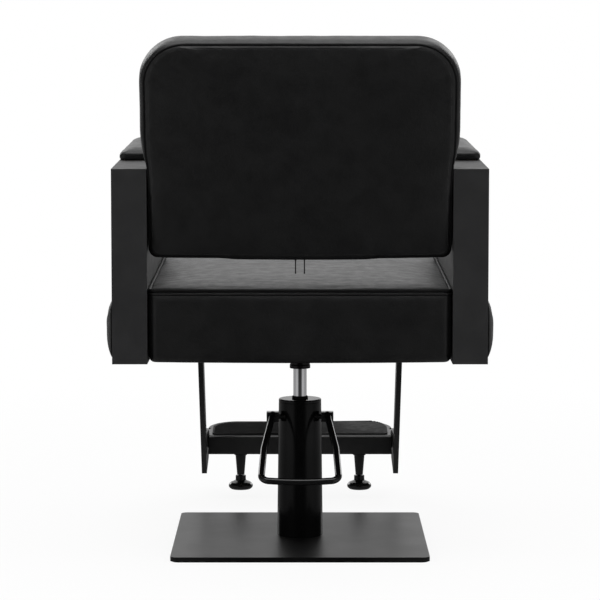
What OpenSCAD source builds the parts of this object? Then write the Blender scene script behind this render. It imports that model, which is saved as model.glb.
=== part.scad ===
// Hairdressing chair: square plate base, hydraulic column, padded seat between box arms,
// leaning padded backrest, and a hung footrest with two screw feet.
// The chair faces -Y and the origin is under the base, on the swivel axis.

/* [Base] */
// Side of the square base plate
base_side = 450; // [420:5:520]
// Thickness of the base plate
base_t = 8; // [6:1:14]
// Corner radius of the base plate
base_corner_r = 12; // [6:1:40]
// Thickness of the rubber liner under the plate
liner_t = 1.5; // [1:0.5:3]
// How far the liner stays inside the plate's edge
liner_inset = 3; // [1:1:10]
// Thickness of the pump's foot flange
flange_t = 10; // [8:1:14]
// Radius of the circle of base bolts
base_bolt_circle_r = 25; // [23:1:27]
// Radius of an M8 bolt's shank
bolt_r = 4; // [3:0.5:4.5]

/* [Column] */
// Radius of the column cover at its top
column_top_r = 38.2; // [38:0.2:42]
// Radius of the column cover at its foot
column_foot_r = 40.2; // [40:0.2:46]
// Wall of the column cover
column_wall = 2; // [1:0.5:2.5]
// Height of the column cover
column_h = 242; // [235:1:290]
// Thickness of the column's top cap
cap_t = 6; // [4:1:10]
// Radius of the wiper collar round the rod
wiper_r = 14.4; // [14:0.2:18]
// Height of the wiper collar above the cap
wiper_h = 5; // [3:0.5:8]
// Radius of the chromed lift rod
rod_r = 12; // [11:0.5:12.5]
// Length of rod in sight when the chair is down
rod_show = 50; // [30:1:80]
// Lift stroke
lift_stroke = 150; // [100:5:150]
// Wall of the pump barrel
barrel_wall = 2.5; // [2:0.5:3]
// Radius of the piston head
piston_r = 14.45; // [14:0.05:14.5]
// Height of the piston head
piston_h = 22; // [18:1:26]
// Height of the pump head casting
pump_head_h = 60; // [50:1:70]
// Wall of the oil reservoir
reservoir_wall = 1.5; // [1:0.5:3]

/* [Pedal] */
// Radius of the pedal shaft
shaft_r = 4.5; // [4:0.5:4.5]
// How far the shaft lies behind the rod's axis
shaft_y = 24; // [23.5:0.5:25]
// Height of the shaft above the base plate
shaft_h = 218; // [210:1:222]
// Width of each square hub on the shaft
hub_block_w = 22; // [16:1:30]
// Height and depth of each square hub
hub_block_side = 18; // [14:1:22]
// Distance between the hubs
hub_block_gap = 76; // [76:1:90]
// Radius of the pedal's round bar
pedal_bar_r = 5.9; // [4:0.1:8]
// Slope of the pedal arms below level
pedal_slope = 27; // [10:1:40]
// Height of the bar's start above the shaft
pedal_start_rise = 4.6; // [2:0.2:5]
// Reach of the pedal behind the shaft
pedal_reach = 191; // [150:1:230]
// Reach of the bend in each arm
pedal_bend_reach = 104; // [70:1:130]
// Half spread of the arms at the hubs
pedal_start_x = 48.5; // [46:0.5:54]
// Half spread of the arms at their bend
pedal_bend_x = 63.5; // [56:0.5:75]
// Half spread of the arms at the foot bar
pedal_end_x = 67.5; // [60:0.5:90]
// Radius of the pedal's lower corners
pedal_corner_r = 15; // [10:1:25]

/* [Seat] */
// Width of the seat cushion
seat_w = 517; // [480:1:560]
// Depth of the seat cushion
seat_d = 540; // [500:5:580]
// Height of the seat at its rear edge
seat_h = 122.5; // [105:0.5:140]
// Distance from the swivel axis to the seat's rear face
seat_rear_y = 255; // [240:1:270]
// Rise of the seat and arm tops towards the front, in degrees
rake = 1.8; // [0:0.1:3]
// Crown of the seat cushion
seat_crown = 16; // [8:1:24]
// Corner radius of the seat cushion
seat_corner_r = 14; // [8:1:30]
// Radius of the piping
welt_r = 3.5; // [2:0.25:5]
// Foam and cover round the seat's wooden box
side_foam = 18; // [12:1:30]
// Thickness of the seat's wooden rails
rail_t = 20; // [15:1:26]
// Height of the seat's wooden rails
rail_h = 62; // [50:1:64]
// Thickness of the seat's boards
board_t = 12; // [9:1:18]
// Side of the steel plate under the seat
seat_plate_side = 220; // [180:5:240]
// Thickness of the steel plate under the seat
seat_plate_t = 5; // [4:0.5:8]
// Distance of the seat plate bolts from the axis, along X and Y
seat_bolt_at = 85; // [60:1:88]
// Radius of the swivel hub
hub_r = 18.6; // [17:0.2:24]
// Height of the swivel hub
hub_h = 33; // [25:1:45]

/* [Arms] */
// Width of each box arm
arm_w = 60; // [45:1:80]
// Length of each box arm
arm_len = 560; // [500:5:600]
// Height of each box arm at its rear face
arm_h = 332.5; // [320:0.5:360]
// Distance from the swivel axis to the arms' rear faces
arm_rear_y = 260; // [256:1:275]
// Gap between the seat cushion and an arm
arm_gap = 1.5; // [1:0.5:4]
// Wall of the arm shells
arm_wall = 3; // [1.5:0.5:4]
// Length of an armrest pad
pad_len = 355; // [250:5:400]
// Height of an armrest pad at its edge
pad_edge_h = 13; // [10:1:18]
// Height of an armrest pad at its crown
pad_crown_h = 22; // [18:1:40]
// How far the armrest pad stands proud of the arm's sides
pad_over = 0; // [0:0.5:4]
// Length of a side pad
side_pad_len = 520; // [440:5:540]
// Height of a side pad
side_pad_h = 104; // [80:1:140]
// Height of the side pads' lower edge above the arms' underside
side_pad_rise = 3.5; // [2:0.5:20]
// Crown of a side pad
side_pad_crown = 17; // [10:1:24]
// Thickness of the boards inside the arm pads
pad_board_t = 5; // [4:0.5:8]

/* [Backrest] */
// Gap between the backrest's foot and the seat's side planes
back_side_gap = 1; // [1:0.5:6]
// How far each side of the backrest swells out above the arms
back_side_swell = 8; // [1:0.5:20]
// Height of the backrest along its lean
back_h = 364.5; // [330:0.5:420]
// Thickness of the backrest
back_t = 70; // [60:1:90]
// Lean of the backrest in degrees
back_lean = 10; // [4:1:14]
// Height of the backrest's foot above the seat's rear edge
back_gap = 59; // [45:1:90]
// Distance from the swivel axis to the backrest's rear foot edge
back_foot_y = 237; // [225:1:245]
// Radius of the backrest's top corners
back_top_r = 73; // [40:1:100]
// Radius of the backrest's foot corners
back_foot_r = 18; // [12:1:30]
// Crown of the backrest's front
back_crown = 14; // [6:1:25]
// Swell of the backrest's edge band above the arms
back_bulge = 5; // [2:0.5:8]
// Length of a zip pull
zip_pull_len = 27; // [15:1:40]
// Distance between the two closed zip sliders
zip_gap = 15.2; // [14:0.2:30]

/* [Footrest] */
// Distance between the outer faces of the footrest's side arms
foot_w = 384; // [340:2:440]
// Thickness of the footrest's side arms
foot_arm_t = 8; // [6:1:10]
// Depth of the footrest's side arms along Y
foot_arm_d = 55; // [40:1:70]
// Forward distance from the axis to the top of the side arms
foot_arm_top_y = 185; // [160:1:200]
// Forward distance from the axis to the foot of the side arms
foot_arm_foot_y = 400; // [370:1:430]
// Height of the side arms' lowest point
foot_arm_foot_z = 56; // [45:1:70]
// Depth of the tray
tray_d = 125; // [110:1:150]
// Forward distance from the axis to the tray's rear edge
tray_y = 420; // [405:1:440]
// Height of the tray's rear edge
tray_z = 127.5; // [115:0.5:150]
// Rise of the tray towards the front in degrees
tray_tilt = 5.3; // [0:0.1:10]
// Sheet thickness of the tray
tray_t = 3; // [2:0.5:4]
// Height of the tray's rear flange
tray_flange_h = 37; // [25:1:45]
// Radius of the tray's front corners
tray_corner_r = 57; // [20:1:60]
// Thickness of the rubber mat
mat_t = 2.5; // [2:0.5:4]
// Distance of each screw foot from the middle plane
foot_x = 118; // [80:1:150]
// Forward distance from the axis to the screw feet
foot_y = 470; // [450:1:490]
// Radius of a foot's disc
glide_r = 22.7; // [15:0.1:30]
// Clearance of the feet above the floor
glide_lift = 14; // [13:0.5:30]
// Travel of the screw feet
foot_travel = 12; // [6:1:12]

/* [Hidden] */
$fn = 48;

// Clearances and overruns shared by all pieces
running = 0.05;
seat_clear = 0.3;
face_clear = 0.1;
over = 1;
hole_clear = 0.5;

// Points per corner and per straight side of a padded form's rings
corner_steps = 4;
side_steps = 6;

// Heights from the floor up
plate_top_z = liner_t + base_t;
column_top_z = plate_top_z + column_h;
cap_top_z = column_top_z + cap_t;
wiper_top_z = cap_top_z + wiper_h;
hub_z = wiper_top_z + rod_show;
seat_plate_z = hub_z + hub_h;
seat_z = seat_plate_z + seat_plate_t;
seat_edge_z = seat_z + seat_h;
seat_front_y = seat_rear_y - seat_d;

// Pump sizes
barrel_bore = piston_r + running;
barrel_r = barrel_bore + barrel_wall;
flange_top_z = plate_top_z + flange_t;
flange_recess_share = 0.3;
flange_recess = flange_t * flange_recess_share;
barrel_foot_z = flange_top_z - flange_recess;
guide_t = 6;
guide_h = 12;
guide_gap = 5.5;
barrel_top_z = column_top_z - guide_gap - guide_t;
guide_foot_z = barrel_top_z - guide_h;
piston_margin = 3;
piston_z = guide_foot_z - piston_margin - lift_stroke - piston_h;
rod_socket = 14;
rod_foot_z = piston_z + piston_h - rod_socket;
race_t = 7;
rod_top_z = seat_plate_z - race_t - face_clear;
wiper_spigot_r = (rod_r + wiper_r) / 2 + running;
head_clear = 0.4;
inner_top_r = column_top_r - column_wall;
pump_head_r = inner_top_r - head_clear;
pump_head_z = barrel_top_z - pump_head_h;
reservoir_r = pump_head_r - over;
flange_r = pump_head_r;
shaft_z = plate_top_z + shaft_h;
seal_h = 3;
seal_depth = 1.45;

// Cam and plunger
cam_wall = 1.5;
cam_r = shaft_r + cam_wall;
cam_arm = 8;
nose_r = 2.6;
cam_w = 7;
plunger_y = shaft_y + cam_arm + seat_clear;
plunger_tip_z = shaft_z - nose_r - seat_clear;
plunger_h = 18;
plunger_bore_h = 40;
pocket_drop = 13.5;
pocket_foot_z = shaft_z - pocket_drop;
spring_wire_r = 0.4;
spring_turns = 9;
bush_wall = 2.5;
bush_r = shaft_r + bush_wall;
bush_len = 7;
pocket_side_gap = 1;
pocket_w = cam_w + 2 * pocket_side_gap;
bush_x = pocket_w / 2 + over;
plunger_foot_z = plunger_tip_z - plunger_h;
plunger_bore_z = plunger_tip_z - plunger_bore_h;

// Seat box
box_x = seat_w / 2 - side_foam;
box_front_y = seat_front_y + side_foam;
box_rear_y = seat_rear_y - side_foam;
base_board_t = 15;
box_top_z = seat_z + rail_h + board_t;
tnut_r = 9;
tnut_t = 2;
head_r = 6.5;
head_h = 5.3;
low_head_h = 4;
cushion_rise = seat_clear;

// Arms
arm_x = seat_w / 2 + arm_gap;
arm_out_x = arm_x + arm_w;
arm_mid_x = arm_x + arm_w / 2;
arm_drop = 1;
arm_z = seat_z - arm_drop;
arm_front_y = arm_rear_y - arm_len;
arm_rear_top_z = arm_z + arm_h;
arm_front_top_z = arm_rear_top_z + arm_len * tan(rake);
arm_bolt_share = 0.65;
arm_bolt_z = seat_z + rail_h * arm_bolt_share;
arm_bolt_y_shares = [0.22, 0.5, 0.78];
arm_bolt_ys = [for (s = arm_bolt_y_shares) box_front_y + (box_rear_y - box_front_y) * s];
spacer_r = 9;
side_pad_mid_y = arm_front_y + arm_len / 2;
side_board_margin = 24;
side_board_t = low_head_h;
pad_w = arm_w + 2 * pad_over;
pad_board_margin = 9;
screw_r = 2.5;
screw_head_r = 4.5;
screw_head_h = 3;
pad_screw_shares = [0.2, 0.8];

// Backrest, in its own leaning frame: y is 0 on the rear face, z is 0 at its foot
back_foot_w = seat_w - 2 * back_side_gap;
back_foot_z = seat_edge_z + back_gap;
back_held_h = arm_rear_top_z - back_foot_z;
back_skin = 10;
back_board_top_margin = 20;
back_board_side_margin = 18;
back_board_h = back_h - back_board_top_margin;
back_board_x = back_foot_w / 2 - back_board_side_margin;
batten_w = 28;
batten_d = 30;
batten_side_margin = 7.5;
batten_x = back_foot_w / 2 - batten_side_margin;
batten_over = 10;
batten_h = back_held_h + batten_over;
back_bolt_shares = [0.4, 0.8];
back_bolt_zs = [for (s = back_bolt_shares) back_held_h * s];
back_bolt_share = 0.45;
back_bolt_y = -back_skin - board_t - batten_d * back_bolt_share;
zip_y = -back_skin - board_t / 2;
zip_tape_w = 18;
zip_tape_t = 1;
zip_coil_w = 5;
zip_coil_h = 1.5;
zip_end_margin = 30;
zip_len = back_foot_w - 2 * zip_end_margin;
slider_w = 9;
slider_len = 10;
slider_h = 4;
slider_lug_w = 1.6;
slider_lug_h = 4;
zip_pin_r = 0.9;
pull_cheek_t = 0.9;
pull_r = 1.5;
zip_top_z = -seat_clear;
coil_foot_z = zip_top_z - zip_tape_t - zip_coil_h;
slider_foot_z = zip_top_z - zip_tape_t - seat_clear - slider_h;
zip_pivot_z = slider_foot_z - slider_lug_h / 2;

// Footrest
foot_arm_x = foot_w / 2 - foot_arm_t;
foot_tab_w = 52;
foot_tab_t = foot_arm_t;
cheek_reach = 95;
cheek_rear_rise = 8;
cheek_front_rise = 2;
cheek_front_y = tray_y + cheek_reach;
cheek_rear_z = tray_z + cheek_rear_rise;
cheek_front_z = tray_z + cheek_front_rise;
cheek_foot_rise = 15;
tray_gap = 0.5;
tray_half_w = foot_arm_x - tray_gap;
tray_rear_cut = 7;
tray_rear_half_w = tray_half_w - tray_rear_cut;
tray_ear = 9;
tray_side_h = 26;
foot_bolt_r = 3;
foot_bolt_head_r = 5.5;
foot_bolt_head_h = 4;
tray_bolt_ds = [38, 76];
tray_bolt_share = 0.6;
rib_w = 3;
rib_h = 1.2;
rib_step = 8;
mat_inset = 5;
leg_boss_r = 13;
leg_top_r = 10;
leg_foot_r = 7;
leg_foot_rise = 29;
leg_taper_h = 39;
leg_foot_z = glide_lift + leg_foot_rise;
leg_boss_z = leg_foot_z + leg_taper_h;
stud_r = 4;
glide_nut_r = 10.8;
glide_disc_h = 16.5;
glide_edge_h = 7;
glide_top_z = leg_foot_z - over;

leather = [0.07, 0.07, 0.07];
paint = [0.16, 0.16, 0.165];
gloss = [0.04, 0.04, 0.04];
steel = [0.6, 0.6, 0.62];
wood = [0.72, 0.58, 0.4];
rubber = [0.1, 0.1, 0.1];

// Points of an arc
function arc(cx, cy, r, a0, a1, n) =
    [for (i = [0:n]) let (a = a0 + (a1 - a0) * i / n) [cx + r * cos(a), cy + r * sin(a)]];

// Inner points of a straight stretch
function stretch(p, q, n) = [for (i = [1:n - 1]) p + (q - p) * i / n];

// Rounded rectangle, counter-clockwise, with its own radii at low and high y
round_share = 0.9;
function outline(x0, x1, y0, y1, r_low, r_high) =
    let (n = corner_steps, most = min(x1 - x0, y1 - y0) / 2 * round_share,
        p = min(r_low, most), q = min(r_high, most),
        a = arc(x0 + p, y0 + p, p, 180, 270, n), b = arc(x1 - p, y0 + p, p, 270, 360, n),
        c = arc(x1 - q, y1 - q, q, 0, 90, n), d = arc(x0 + q, y1 - q, q, 90, 180, n))
    concat(a, stretch(a[n], b[0], side_steps), b, stretch(b[n], c[0], side_steps),
        c, stretch(c[n], d[0], side_steps), d, stretch(d[n], a[0], side_steps));

function middle(ring) = [for (k = [0:2]) [for (p = ring) 1] * [for (p = ring) p[k]] / len(ring)];
function unit(v) = v / norm(v);

// Side faces between rings that follow each other
function bands(n, m, count) =
    [for (j = [0:m - 1]) for (i = [0:n - 1])
        let (a = (j % count) * n + i, b = (j % count) * n + (i + 1) % n,
            c = ((j + 1) % count) * n + (i + 1) % n, d = ((j + 1) % count) * n + i)
        each [[a, d, c], [a, c, b]]];

// Closed solid through a stack of rings
module skin(rings) {
    n = len(rings[0]);
    m = len(rings);
    points = concat([for (r = rings) each r], [middle(rings[0]), middle(rings[m - 1])]);
    foot = [for (i = [0:n - 1]) [i, (i + 1) % n, n * m]];
    top = [for (i = [0:n - 1]) [(m - 1) * n + (i + 1) % n, (m - 1) * n + i, n * m + 1]];
    polyhedron(points, concat(bands(n, m - 1, m), foot, top));
}

// Ring round a path point, square to its direction
function tube_ring(c, dir, up, r, n) =
    let (e1 = unit(cross(up, dir)), e2 = cross(dir, e1))
    [for (i = [0:n - 1]) c + r * (e1 * cos(360 * i / n) + e2 * sin(360 * i / n))];

// Round bar along an open path
module bar(path, r, up, sides) {
    last = len(path) - 1;
    skin([for (i = [0:last])
        tube_ring(path[i], unit(path[min(i + 1, last)] - path[max(i - 1, 0)]), up, r, sides)]);
}

// Piping along a closed path
module piping(path, up, sides) {
    m = len(path);
    rings = [for (i = [0:m - 1])
        tube_ring(path[i], unit(path[(i + 1) % m] - path[(i + m - 1) % m]), up, welt_r, sides)];
    polyhedron([for (r = rings) each r], bands(sides, m, m));
}

// Points of a rounded turn at q, between p and s
function turn(p, q, s, r, n) =
    let (u = unit(p - q), w = unit(s - q), half = acos(u * w) / 2,
        c = q + unit(u + w) * r / sin(half),
        a = q + u * r / tan(half) - c, b = q + w * r / tan(half) - c, sweep = 180 - 2 * half)
    [for (i = [0:n]) let (f = i / n) c + (a * sin(sweep * (1 - f)) + b * sin(sweep * f)) / sin(sweep)];

// Flat plate with round corners, centred
module round_plate(w, d, r, h) {
    linear_extrude(h) {
        square([w - 2 * r, d], center = true);
        square([w, d - 2 * r], center = true);
        for (x = [-1, 1]) for (y = [-1, 1])
            translate([x * (w / 2 - r), y * (d / 2 - r)]) circle(r);
    }
}

module ring_tube(r_out, r_in, h) {
    difference() {
        cylinder(r = r_out, h = h);
        translate([0, 0, -over]) cylinder(r = r_in, h = h + 2 * over);
    }
}

// Round bore or pin along X, centred on x
module cross_cylinder(r, len) {
    rotate([0, 90, 0]) cylinder(r = r, h = len, center = true);
}

module both_sides() {
    children();
    mirror([1, 0, 0]) children();
}

module at_base_bolts() {
    for (a = [45:90:315]) rotate(a) translate([base_bolt_circle_r, 0, 0]) children();
}

module at_seat_bolts() {
    for (x = [-1, 1]) for (y = [-1, 1]) translate([x * seat_bolt_at, y * seat_bolt_at, 0]) children();
}

// Frame of the arm tops: its y runs along the raked top, 0 at the rear face
module on_arm_top() {
    translate([0, arm_rear_y, arm_rear_top_z]) rotate([-rake, 0, 0]) children();
}

module on_back() {
    translate([0, back_foot_y, back_foot_z]) rotate([-back_lean, 0, 0]) children();
}

// Frame of the tray: y is 0 at its rear edge, z is 0 on the sheet's upper face
module on_tray() {
    translate([0, -tray_y, tray_z]) rotate([-tray_tilt, 0, 0]) children();
}

// Base

module base_liner() {
    color(rubber)
    round_plate(base_side - 2 * liner_inset, base_side - 2 * liner_inset, base_corner_r, liner_t);
}

module base_plate() {
    color(gloss)
    difference() {
        translate([0, 0, liner_t]) round_plate(base_side, base_side, base_corner_r, base_t);
        at_base_bolts() {
            translate([0, 0, liner_t - over]) cylinder(r = bolt_r + hole_clear, h = base_t + 2 * over);
            translate([0, 0, liner_t - over]) cylinder(r = 2 * bolt_r + hole_clear, h = over + bolt_r);
        }
    }
}

module base_bolts() {
    color(steel)
    at_base_bolts() translate([0, 0, liner_t]) {
        cylinder(r = 2 * bolt_r, h = bolt_r);
        cylinder(r = bolt_r - running, h = base_t + flange_t - over);
    }
}

module pump_flange() {
    color(steel)
    difference() {
        translate([0, 0, plate_top_z]) cylinder(r = flange_r, h = flange_t);
        translate([0, 0, barrel_foot_z]) cylinder(r = barrel_r + running, h = flange_t);
        at_base_bolts() translate([0, 0, liner_t]) cylinder(r = bolt_r, h = base_t + 2 * flange_t);
    }
}

module pump_barrel() {
    color(steel)
    translate([0, 0, barrel_foot_z]) ring_tube(barrel_r, barrel_bore, barrel_top_z - barrel_foot_z);
}

module oil_reservoir() {
    color(steel)
    translate([0, 0, flange_top_z])
        ring_tube(reservoir_r, reservoir_r - reservoir_wall, pump_head_z - flange_top_z);
}

module pump_head() {
    color(steel)
    difference() {
        translate([0, 0, pump_head_z]) cylinder(r = pump_head_r, h = pump_head_h);
        translate([0, 0, pump_head_z - over]) cylinder(r = barrel_r + running, h = pump_head_h + 2 * over);
        translate([0, shaft_y, shaft_z]) cross_cylinder(bush_r + running, 2 * column_foot_r);
        translate([-pocket_w / 2, barrel_r, pocket_foot_z]) cube([pocket_w, pump_head_r, pump_head_h]);
        translate([0, plunger_y, plunger_bore_z]) cylinder(r = nose_r + running, h = pump_head_h);
    }
}

module shaft_bushes() {
    color("goldenrod")
    both_sides() translate([bush_x, shaft_y, shaft_z]) rotate([0, 90, 0])
        ring_tube(bush_r, shaft_r + running, bush_len);
}

module rod_guide() {
    color("goldenrod")
    difference() {
        union() {
            translate([0, 0, barrel_top_z]) cylinder(r = barrel_r, h = guide_t);
            translate([0, 0, guide_foot_z]) cylinder(r = barrel_bore - running, h = guide_h + over);
        }
        translate([0, 0, guide_foot_z - over])
            cylinder(r = rod_r + running, h = guide_h + guide_t + 2 * over);
    }
}

module column_cover() {
    color(gloss)
    difference() {
        translate([0, 0, plate_top_z]) rotate_extrude() polygon([
            [column_foot_r - column_wall, 0], [column_foot_r, 0],
            [column_top_r, column_h], [column_top_r - column_wall, column_h]]);
        translate([0, shaft_y, shaft_z]) cross_cylinder(shaft_r + hole_clear, 3 * column_foot_r);
    }
}

module column_cap() {
    color(gloss)
    translate([0, 0, column_top_z]) ring_tube(column_top_r, wiper_spigot_r + running, cap_t);
}

module rod_wiper() {
    color(rubber)
    difference() {
        union() {
            translate([0, 0, column_top_z]) cylinder(r = wiper_spigot_r, h = cap_t + over);
            translate([0, 0, cap_top_z]) cylinder(r = wiper_r, h = wiper_h);
        }
        translate([0, 0, column_top_z - over])
            cylinder(r = rod_r + running, h = cap_t + wiper_h + 2 * over);
    }
}

// Pedal and its pump drive

module pedal_shaft() {
    color(steel)
    translate([0, shaft_y, shaft_z]) cross_cylinder(shaft_r, hub_block_gap + 2 * hub_block_w - 2 * over);
}

// Start of one arm, welded a little way into its hub, and the arm's other corners
weld_depth = 1.5;
pedal_start = [pedal_start_x, shaft_y + hub_block_side / 2 - weld_depth,
    shaft_z + pedal_start_rise + weld_depth * tan(pedal_slope)];
pedal_bend = [pedal_bend_x, shaft_y + pedal_bend_reach,
    pedal_start[2] - (pedal_bend_reach - hub_block_side / 2 + weld_depth) * tan(pedal_slope)];
pedal_end = [pedal_end_x, shaft_y + pedal_reach,
    pedal_start[2] - (pedal_reach - hub_block_side / 2 + weld_depth) * tan(pedal_slope)];
pedal_far = [-pedal_end_x, pedal_end[1], pedal_end[2]];
pedal_bend_r = 60;
pedal_half = concat([pedal_start],
    turn(pedal_start, pedal_bend, pedal_end, pedal_bend_r, 4),
    turn(pedal_bend, pedal_end, pedal_far, pedal_corner_r, 8));
pedal_path = concat(pedal_half,
    [for (i = [len(pedal_half) - 1:-1:0]) [-pedal_half[i][0], pedal_half[i][1], pedal_half[i][2]]]);

module pedal_hubs() {
    color(gloss)
    both_sides() difference() {
        translate([hub_block_gap / 2, shaft_y - hub_block_side / 2, shaft_z - hub_block_side / 2])
            cube([hub_block_w, hub_block_side, hub_block_side]);
        translate([0, shaft_y, shaft_z]) cross_cylinder(shaft_r + running, 2 * hub_block_gap + hub_block_w);
    }
}

module pedal_loop() {
    color(gloss)
    bar(pedal_path, pedal_bar_r, [0, sin(pedal_slope), cos(pedal_slope)], 16);
}

module pedal_cam() {
    color(steel)
    translate([0, shaft_y, shaft_z]) difference() {
        union() {
            cross_cylinder(cam_r, cam_w);
            translate([-cam_w / 2, 0, -nose_r]) cube([cam_w, cam_arm, 2 * nose_r]);
            translate([0, cam_arm, 0]) cross_cylinder(nose_r, cam_w);
        }
        cross_cylinder(shaft_r + running, cam_w + 2 * over);
    }
}

module pump_plunger() {
    color(steel)
    translate([0, plunger_y, plunger_foot_z]) {
        cylinder(r = nose_r, h = plunger_h - nose_r);
        translate([0, 0, plunger_h - nose_r]) sphere(nose_r);
    }
}

module plunger_spring() {
    coil_r = nose_r - spring_wire_r - 2 * running;
    coil_z0 = plunger_bore_z + spring_wire_r + running;
    coil_h = plunger_foot_z - plunger_bore_z - 2 * (spring_wire_r + running);
    steps = 10 * spring_turns;
    color(steel)
    translate([0, plunger_y, 0])
    bar([for (i = [0:steps]) let (a = 360 * spring_turns * i / steps)
        [coil_r * cos(a), coil_r * sin(a), coil_z0 + coil_h * i / steps]], spring_wire_r, [0, 0, 1], 6);
}

// Lift rod

module piston_rod() {
    color("silver")
    translate([0, 0, rod_foot_z]) cylinder(r = rod_r, h = rod_top_z - rod_foot_z);
}

module piston_head() {
    groove_z = piston_z + piston_h / 3;
    color(steel)
    difference() {
        translate([0, 0, piston_z]) cylinder(r = piston_r, h = piston_h);
        translate([0, 0, rod_foot_z]) cylinder(r = rod_r + running, h = piston_h);
        translate([0, 0, groove_z]) ring_tube(piston_r + over, piston_r - seal_depth, seal_h);
    }
}

module piston_seal() {
    groove_z = piston_z + piston_h / 3;
    color(rubber)
    translate([0, 0, groove_z + running])
        ring_tube(piston_r, piston_r - seal_depth + running, seal_h - 2 * running);
}

module thrust_race() {
    color(steel)
    translate([0, 0, rod_top_z]) cylinder(r = rod_r - running, h = race_t);
}

// Seat

module swivel_hub() {
    color(gloss)
    translate([0, 0, hub_z]) ring_tube(hub_r, rod_r + running, hub_h);
}

module seat_plate() {
    color(gloss)
    difference() {
        translate([0, 0, seat_plate_z])
            round_plate(seat_plate_side, seat_plate_side, base_corner_r, seat_plate_t);
        at_seat_bolts() translate([0, 0, seat_plate_z - over])
            cylinder(r = bolt_r + hole_clear, h = seat_plate_t + 2 * over);
    }
}

module seat_plate_bolts() {
    color(steel)
    at_seat_bolts() {
        translate([0, 0, seat_plate_z - head_h]) cylinder(r = head_r, h = head_h, $fn = 6);
        translate([0, 0, seat_plate_z - over])
            cylinder(r = bolt_r, h = over + seat_plate_t + base_board_t + 2 * tnut_t);
        translate([0, 0, seat_z + base_board_t]) cylinder(r = tnut_r, h = tnut_t);
    }
}

// Places of the bolts that hold the footrest's tabs to the base board
foot_tab_mid_x = foot_w / 2 - foot_tab_w / 2 - foot_arm_t / 2;
foot_tab_y = -foot_arm_top_y - foot_arm_d / 2;

module seat_base_board() {
    color(wood)
    difference() {
        translate([-box_x + rail_t, box_front_y + rail_t, seat_z])
            cube([2 * (box_x - rail_t), box_rear_y - box_front_y - 2 * rail_t, base_board_t]);
        at_seat_bolts() translate([0, 0, seat_z - over])
            cylinder(r = bolt_r + hole_clear, h = base_board_t + 2 * over);
        both_sides() translate([foot_tab_mid_x, foot_tab_y, seat_z - over])
            cylinder(r = bolt_r + hole_clear, h = base_board_t + 2 * over);
    }
}

module seat_frame() {
    color(wood)
    difference() {
        translate([-box_x, box_front_y, seat_z]) cube([2 * box_x, box_rear_y - box_front_y, rail_h]);
        translate([-box_x + rail_t, box_front_y + rail_t, seat_z - over])
            cube([2 * (box_x - rail_t), box_rear_y - box_front_y - 2 * rail_t, rail_h + 2 * over]);
        for (y = arm_bolt_ys) translate([0, y, arm_bolt_z]) cross_cylinder(bolt_r + hole_clear, 3 * box_x);
    }
}

module seat_top_board() {
    color(wood)
    translate([-box_x, box_front_y, seat_z + rail_h])
        cube([2 * box_x, box_rear_y - box_front_y, board_t]);
}

// Ring of the seat cushion: inset from its sides, at a height above its underside
function seat_ring(inset, z, r) =
    let (lift = (z - cushion_rise) / (seat_h - cushion_rise) * tan(rake))
    [for (p = outline(-seat_w / 2 + inset, seat_w / 2 - inset,
            seat_front_y + inset, seat_rear_y - inset, r, r))
        [p[0], p[1], seat_z + z + lift * (seat_rear_y - p[1])]];

// Crown of a pad: height share at a share of the way from its edge to its middle
crown_power = 2.6;
function crown(f) = 1 - pow(1 - f, crown_power);

module seat_cushion() {
    pinch = 3;
    reach_share = 0.86;
    reach = seat_d / 2 * reach_share;
    crown_shares = [0.06, 0.14, 0.28, 0.48, 0.72, 1];
    side_shares = [0.08, 0.3, 0.6, 0.9];
    swell_shares = [0.45, 0, 0, 0.35];
    color(leather)
    difference() {
        skin(concat(
            [seat_ring(pinch, cushion_rise, seat_corner_r)],
            [for (i = [0:3]) seat_ring(pinch * swell_shares[i], seat_h * side_shares[i], seat_corner_r)],
            [seat_ring(pinch, seat_h, seat_corner_r)],
            [for (f = crown_shares) let (inset = pinch + (reach - pinch) * f)
                seat_ring(inset, seat_h + seat_crown * crown(f), max(seat_corner_r, inset / 3))]));
        translate([-box_x - seat_clear, box_front_y - seat_clear, seat_z - over])
            cube([2 * (box_x + seat_clear), box_rear_y - box_front_y + 2 * seat_clear,
                rail_h + board_t + over + seat_clear]);
        for (y = arm_bolt_ys) translate([0, y, arm_bolt_z])
            cross_cylinder(bolt_r + hole_clear, seat_w + over);
    }
}

module seat_welt() {
    color(leather)
    piping(seat_ring(welt_r, seat_h - welt_r / 2, seat_corner_r), [0, 0, 1], 8);
}

// Arms

module arm_side(margin, low) {
    front_top = arm_front_top_z - margin - margin * tan(rake);
    rotate([90, 0, 90]) linear_extrude(arm_w - 2 * margin) polygon([
        [arm_front_y + margin, arm_z - low], [arm_rear_y - margin, arm_z - low],
        [arm_rear_y - margin, arm_rear_top_z - margin + margin * tan(rake)],
        [arm_front_y + margin, front_top]]);
}

module at_pad_screws() {
    board_len = pad_len - 2 * pad_board_margin;
    for (s = pad_screw_shares) on_arm_top()
        translate([arm_mid_x, -arm_len + pad_board_margin + board_len * s, 0]) children();
}

module at_back_bolts() {
    for (z = back_bolt_zs) on_back() translate([0, back_bolt_y, z]) children();
}

module arm_shell() {
    color(paint)
    difference() {
        union() {
            difference() {
                translate([arm_x, 0, 0]) arm_side(0, 0);
                translate([arm_x + arm_wall, 0, 0]) arm_side(arm_wall, over);
            }
            for (y = arm_bolt_ys) translate([arm_mid_x, y, arm_bolt_z])
                cross_cylinder(spacer_r, arm_w - arm_wall);
        }
        for (y = arm_bolt_ys) translate([arm_mid_x, y, arm_bolt_z])
            cross_cylinder(bolt_r + hole_clear, arm_w + 2 * over);
        at_pad_screws() cylinder(r = screw_r + hole_clear, h = 4 * arm_wall, center = true);
        at_back_bolts() translate([arm_x, 0, 0]) cross_cylinder(bolt_r + hole_clear, 4 * arm_wall);
    }
}

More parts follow.
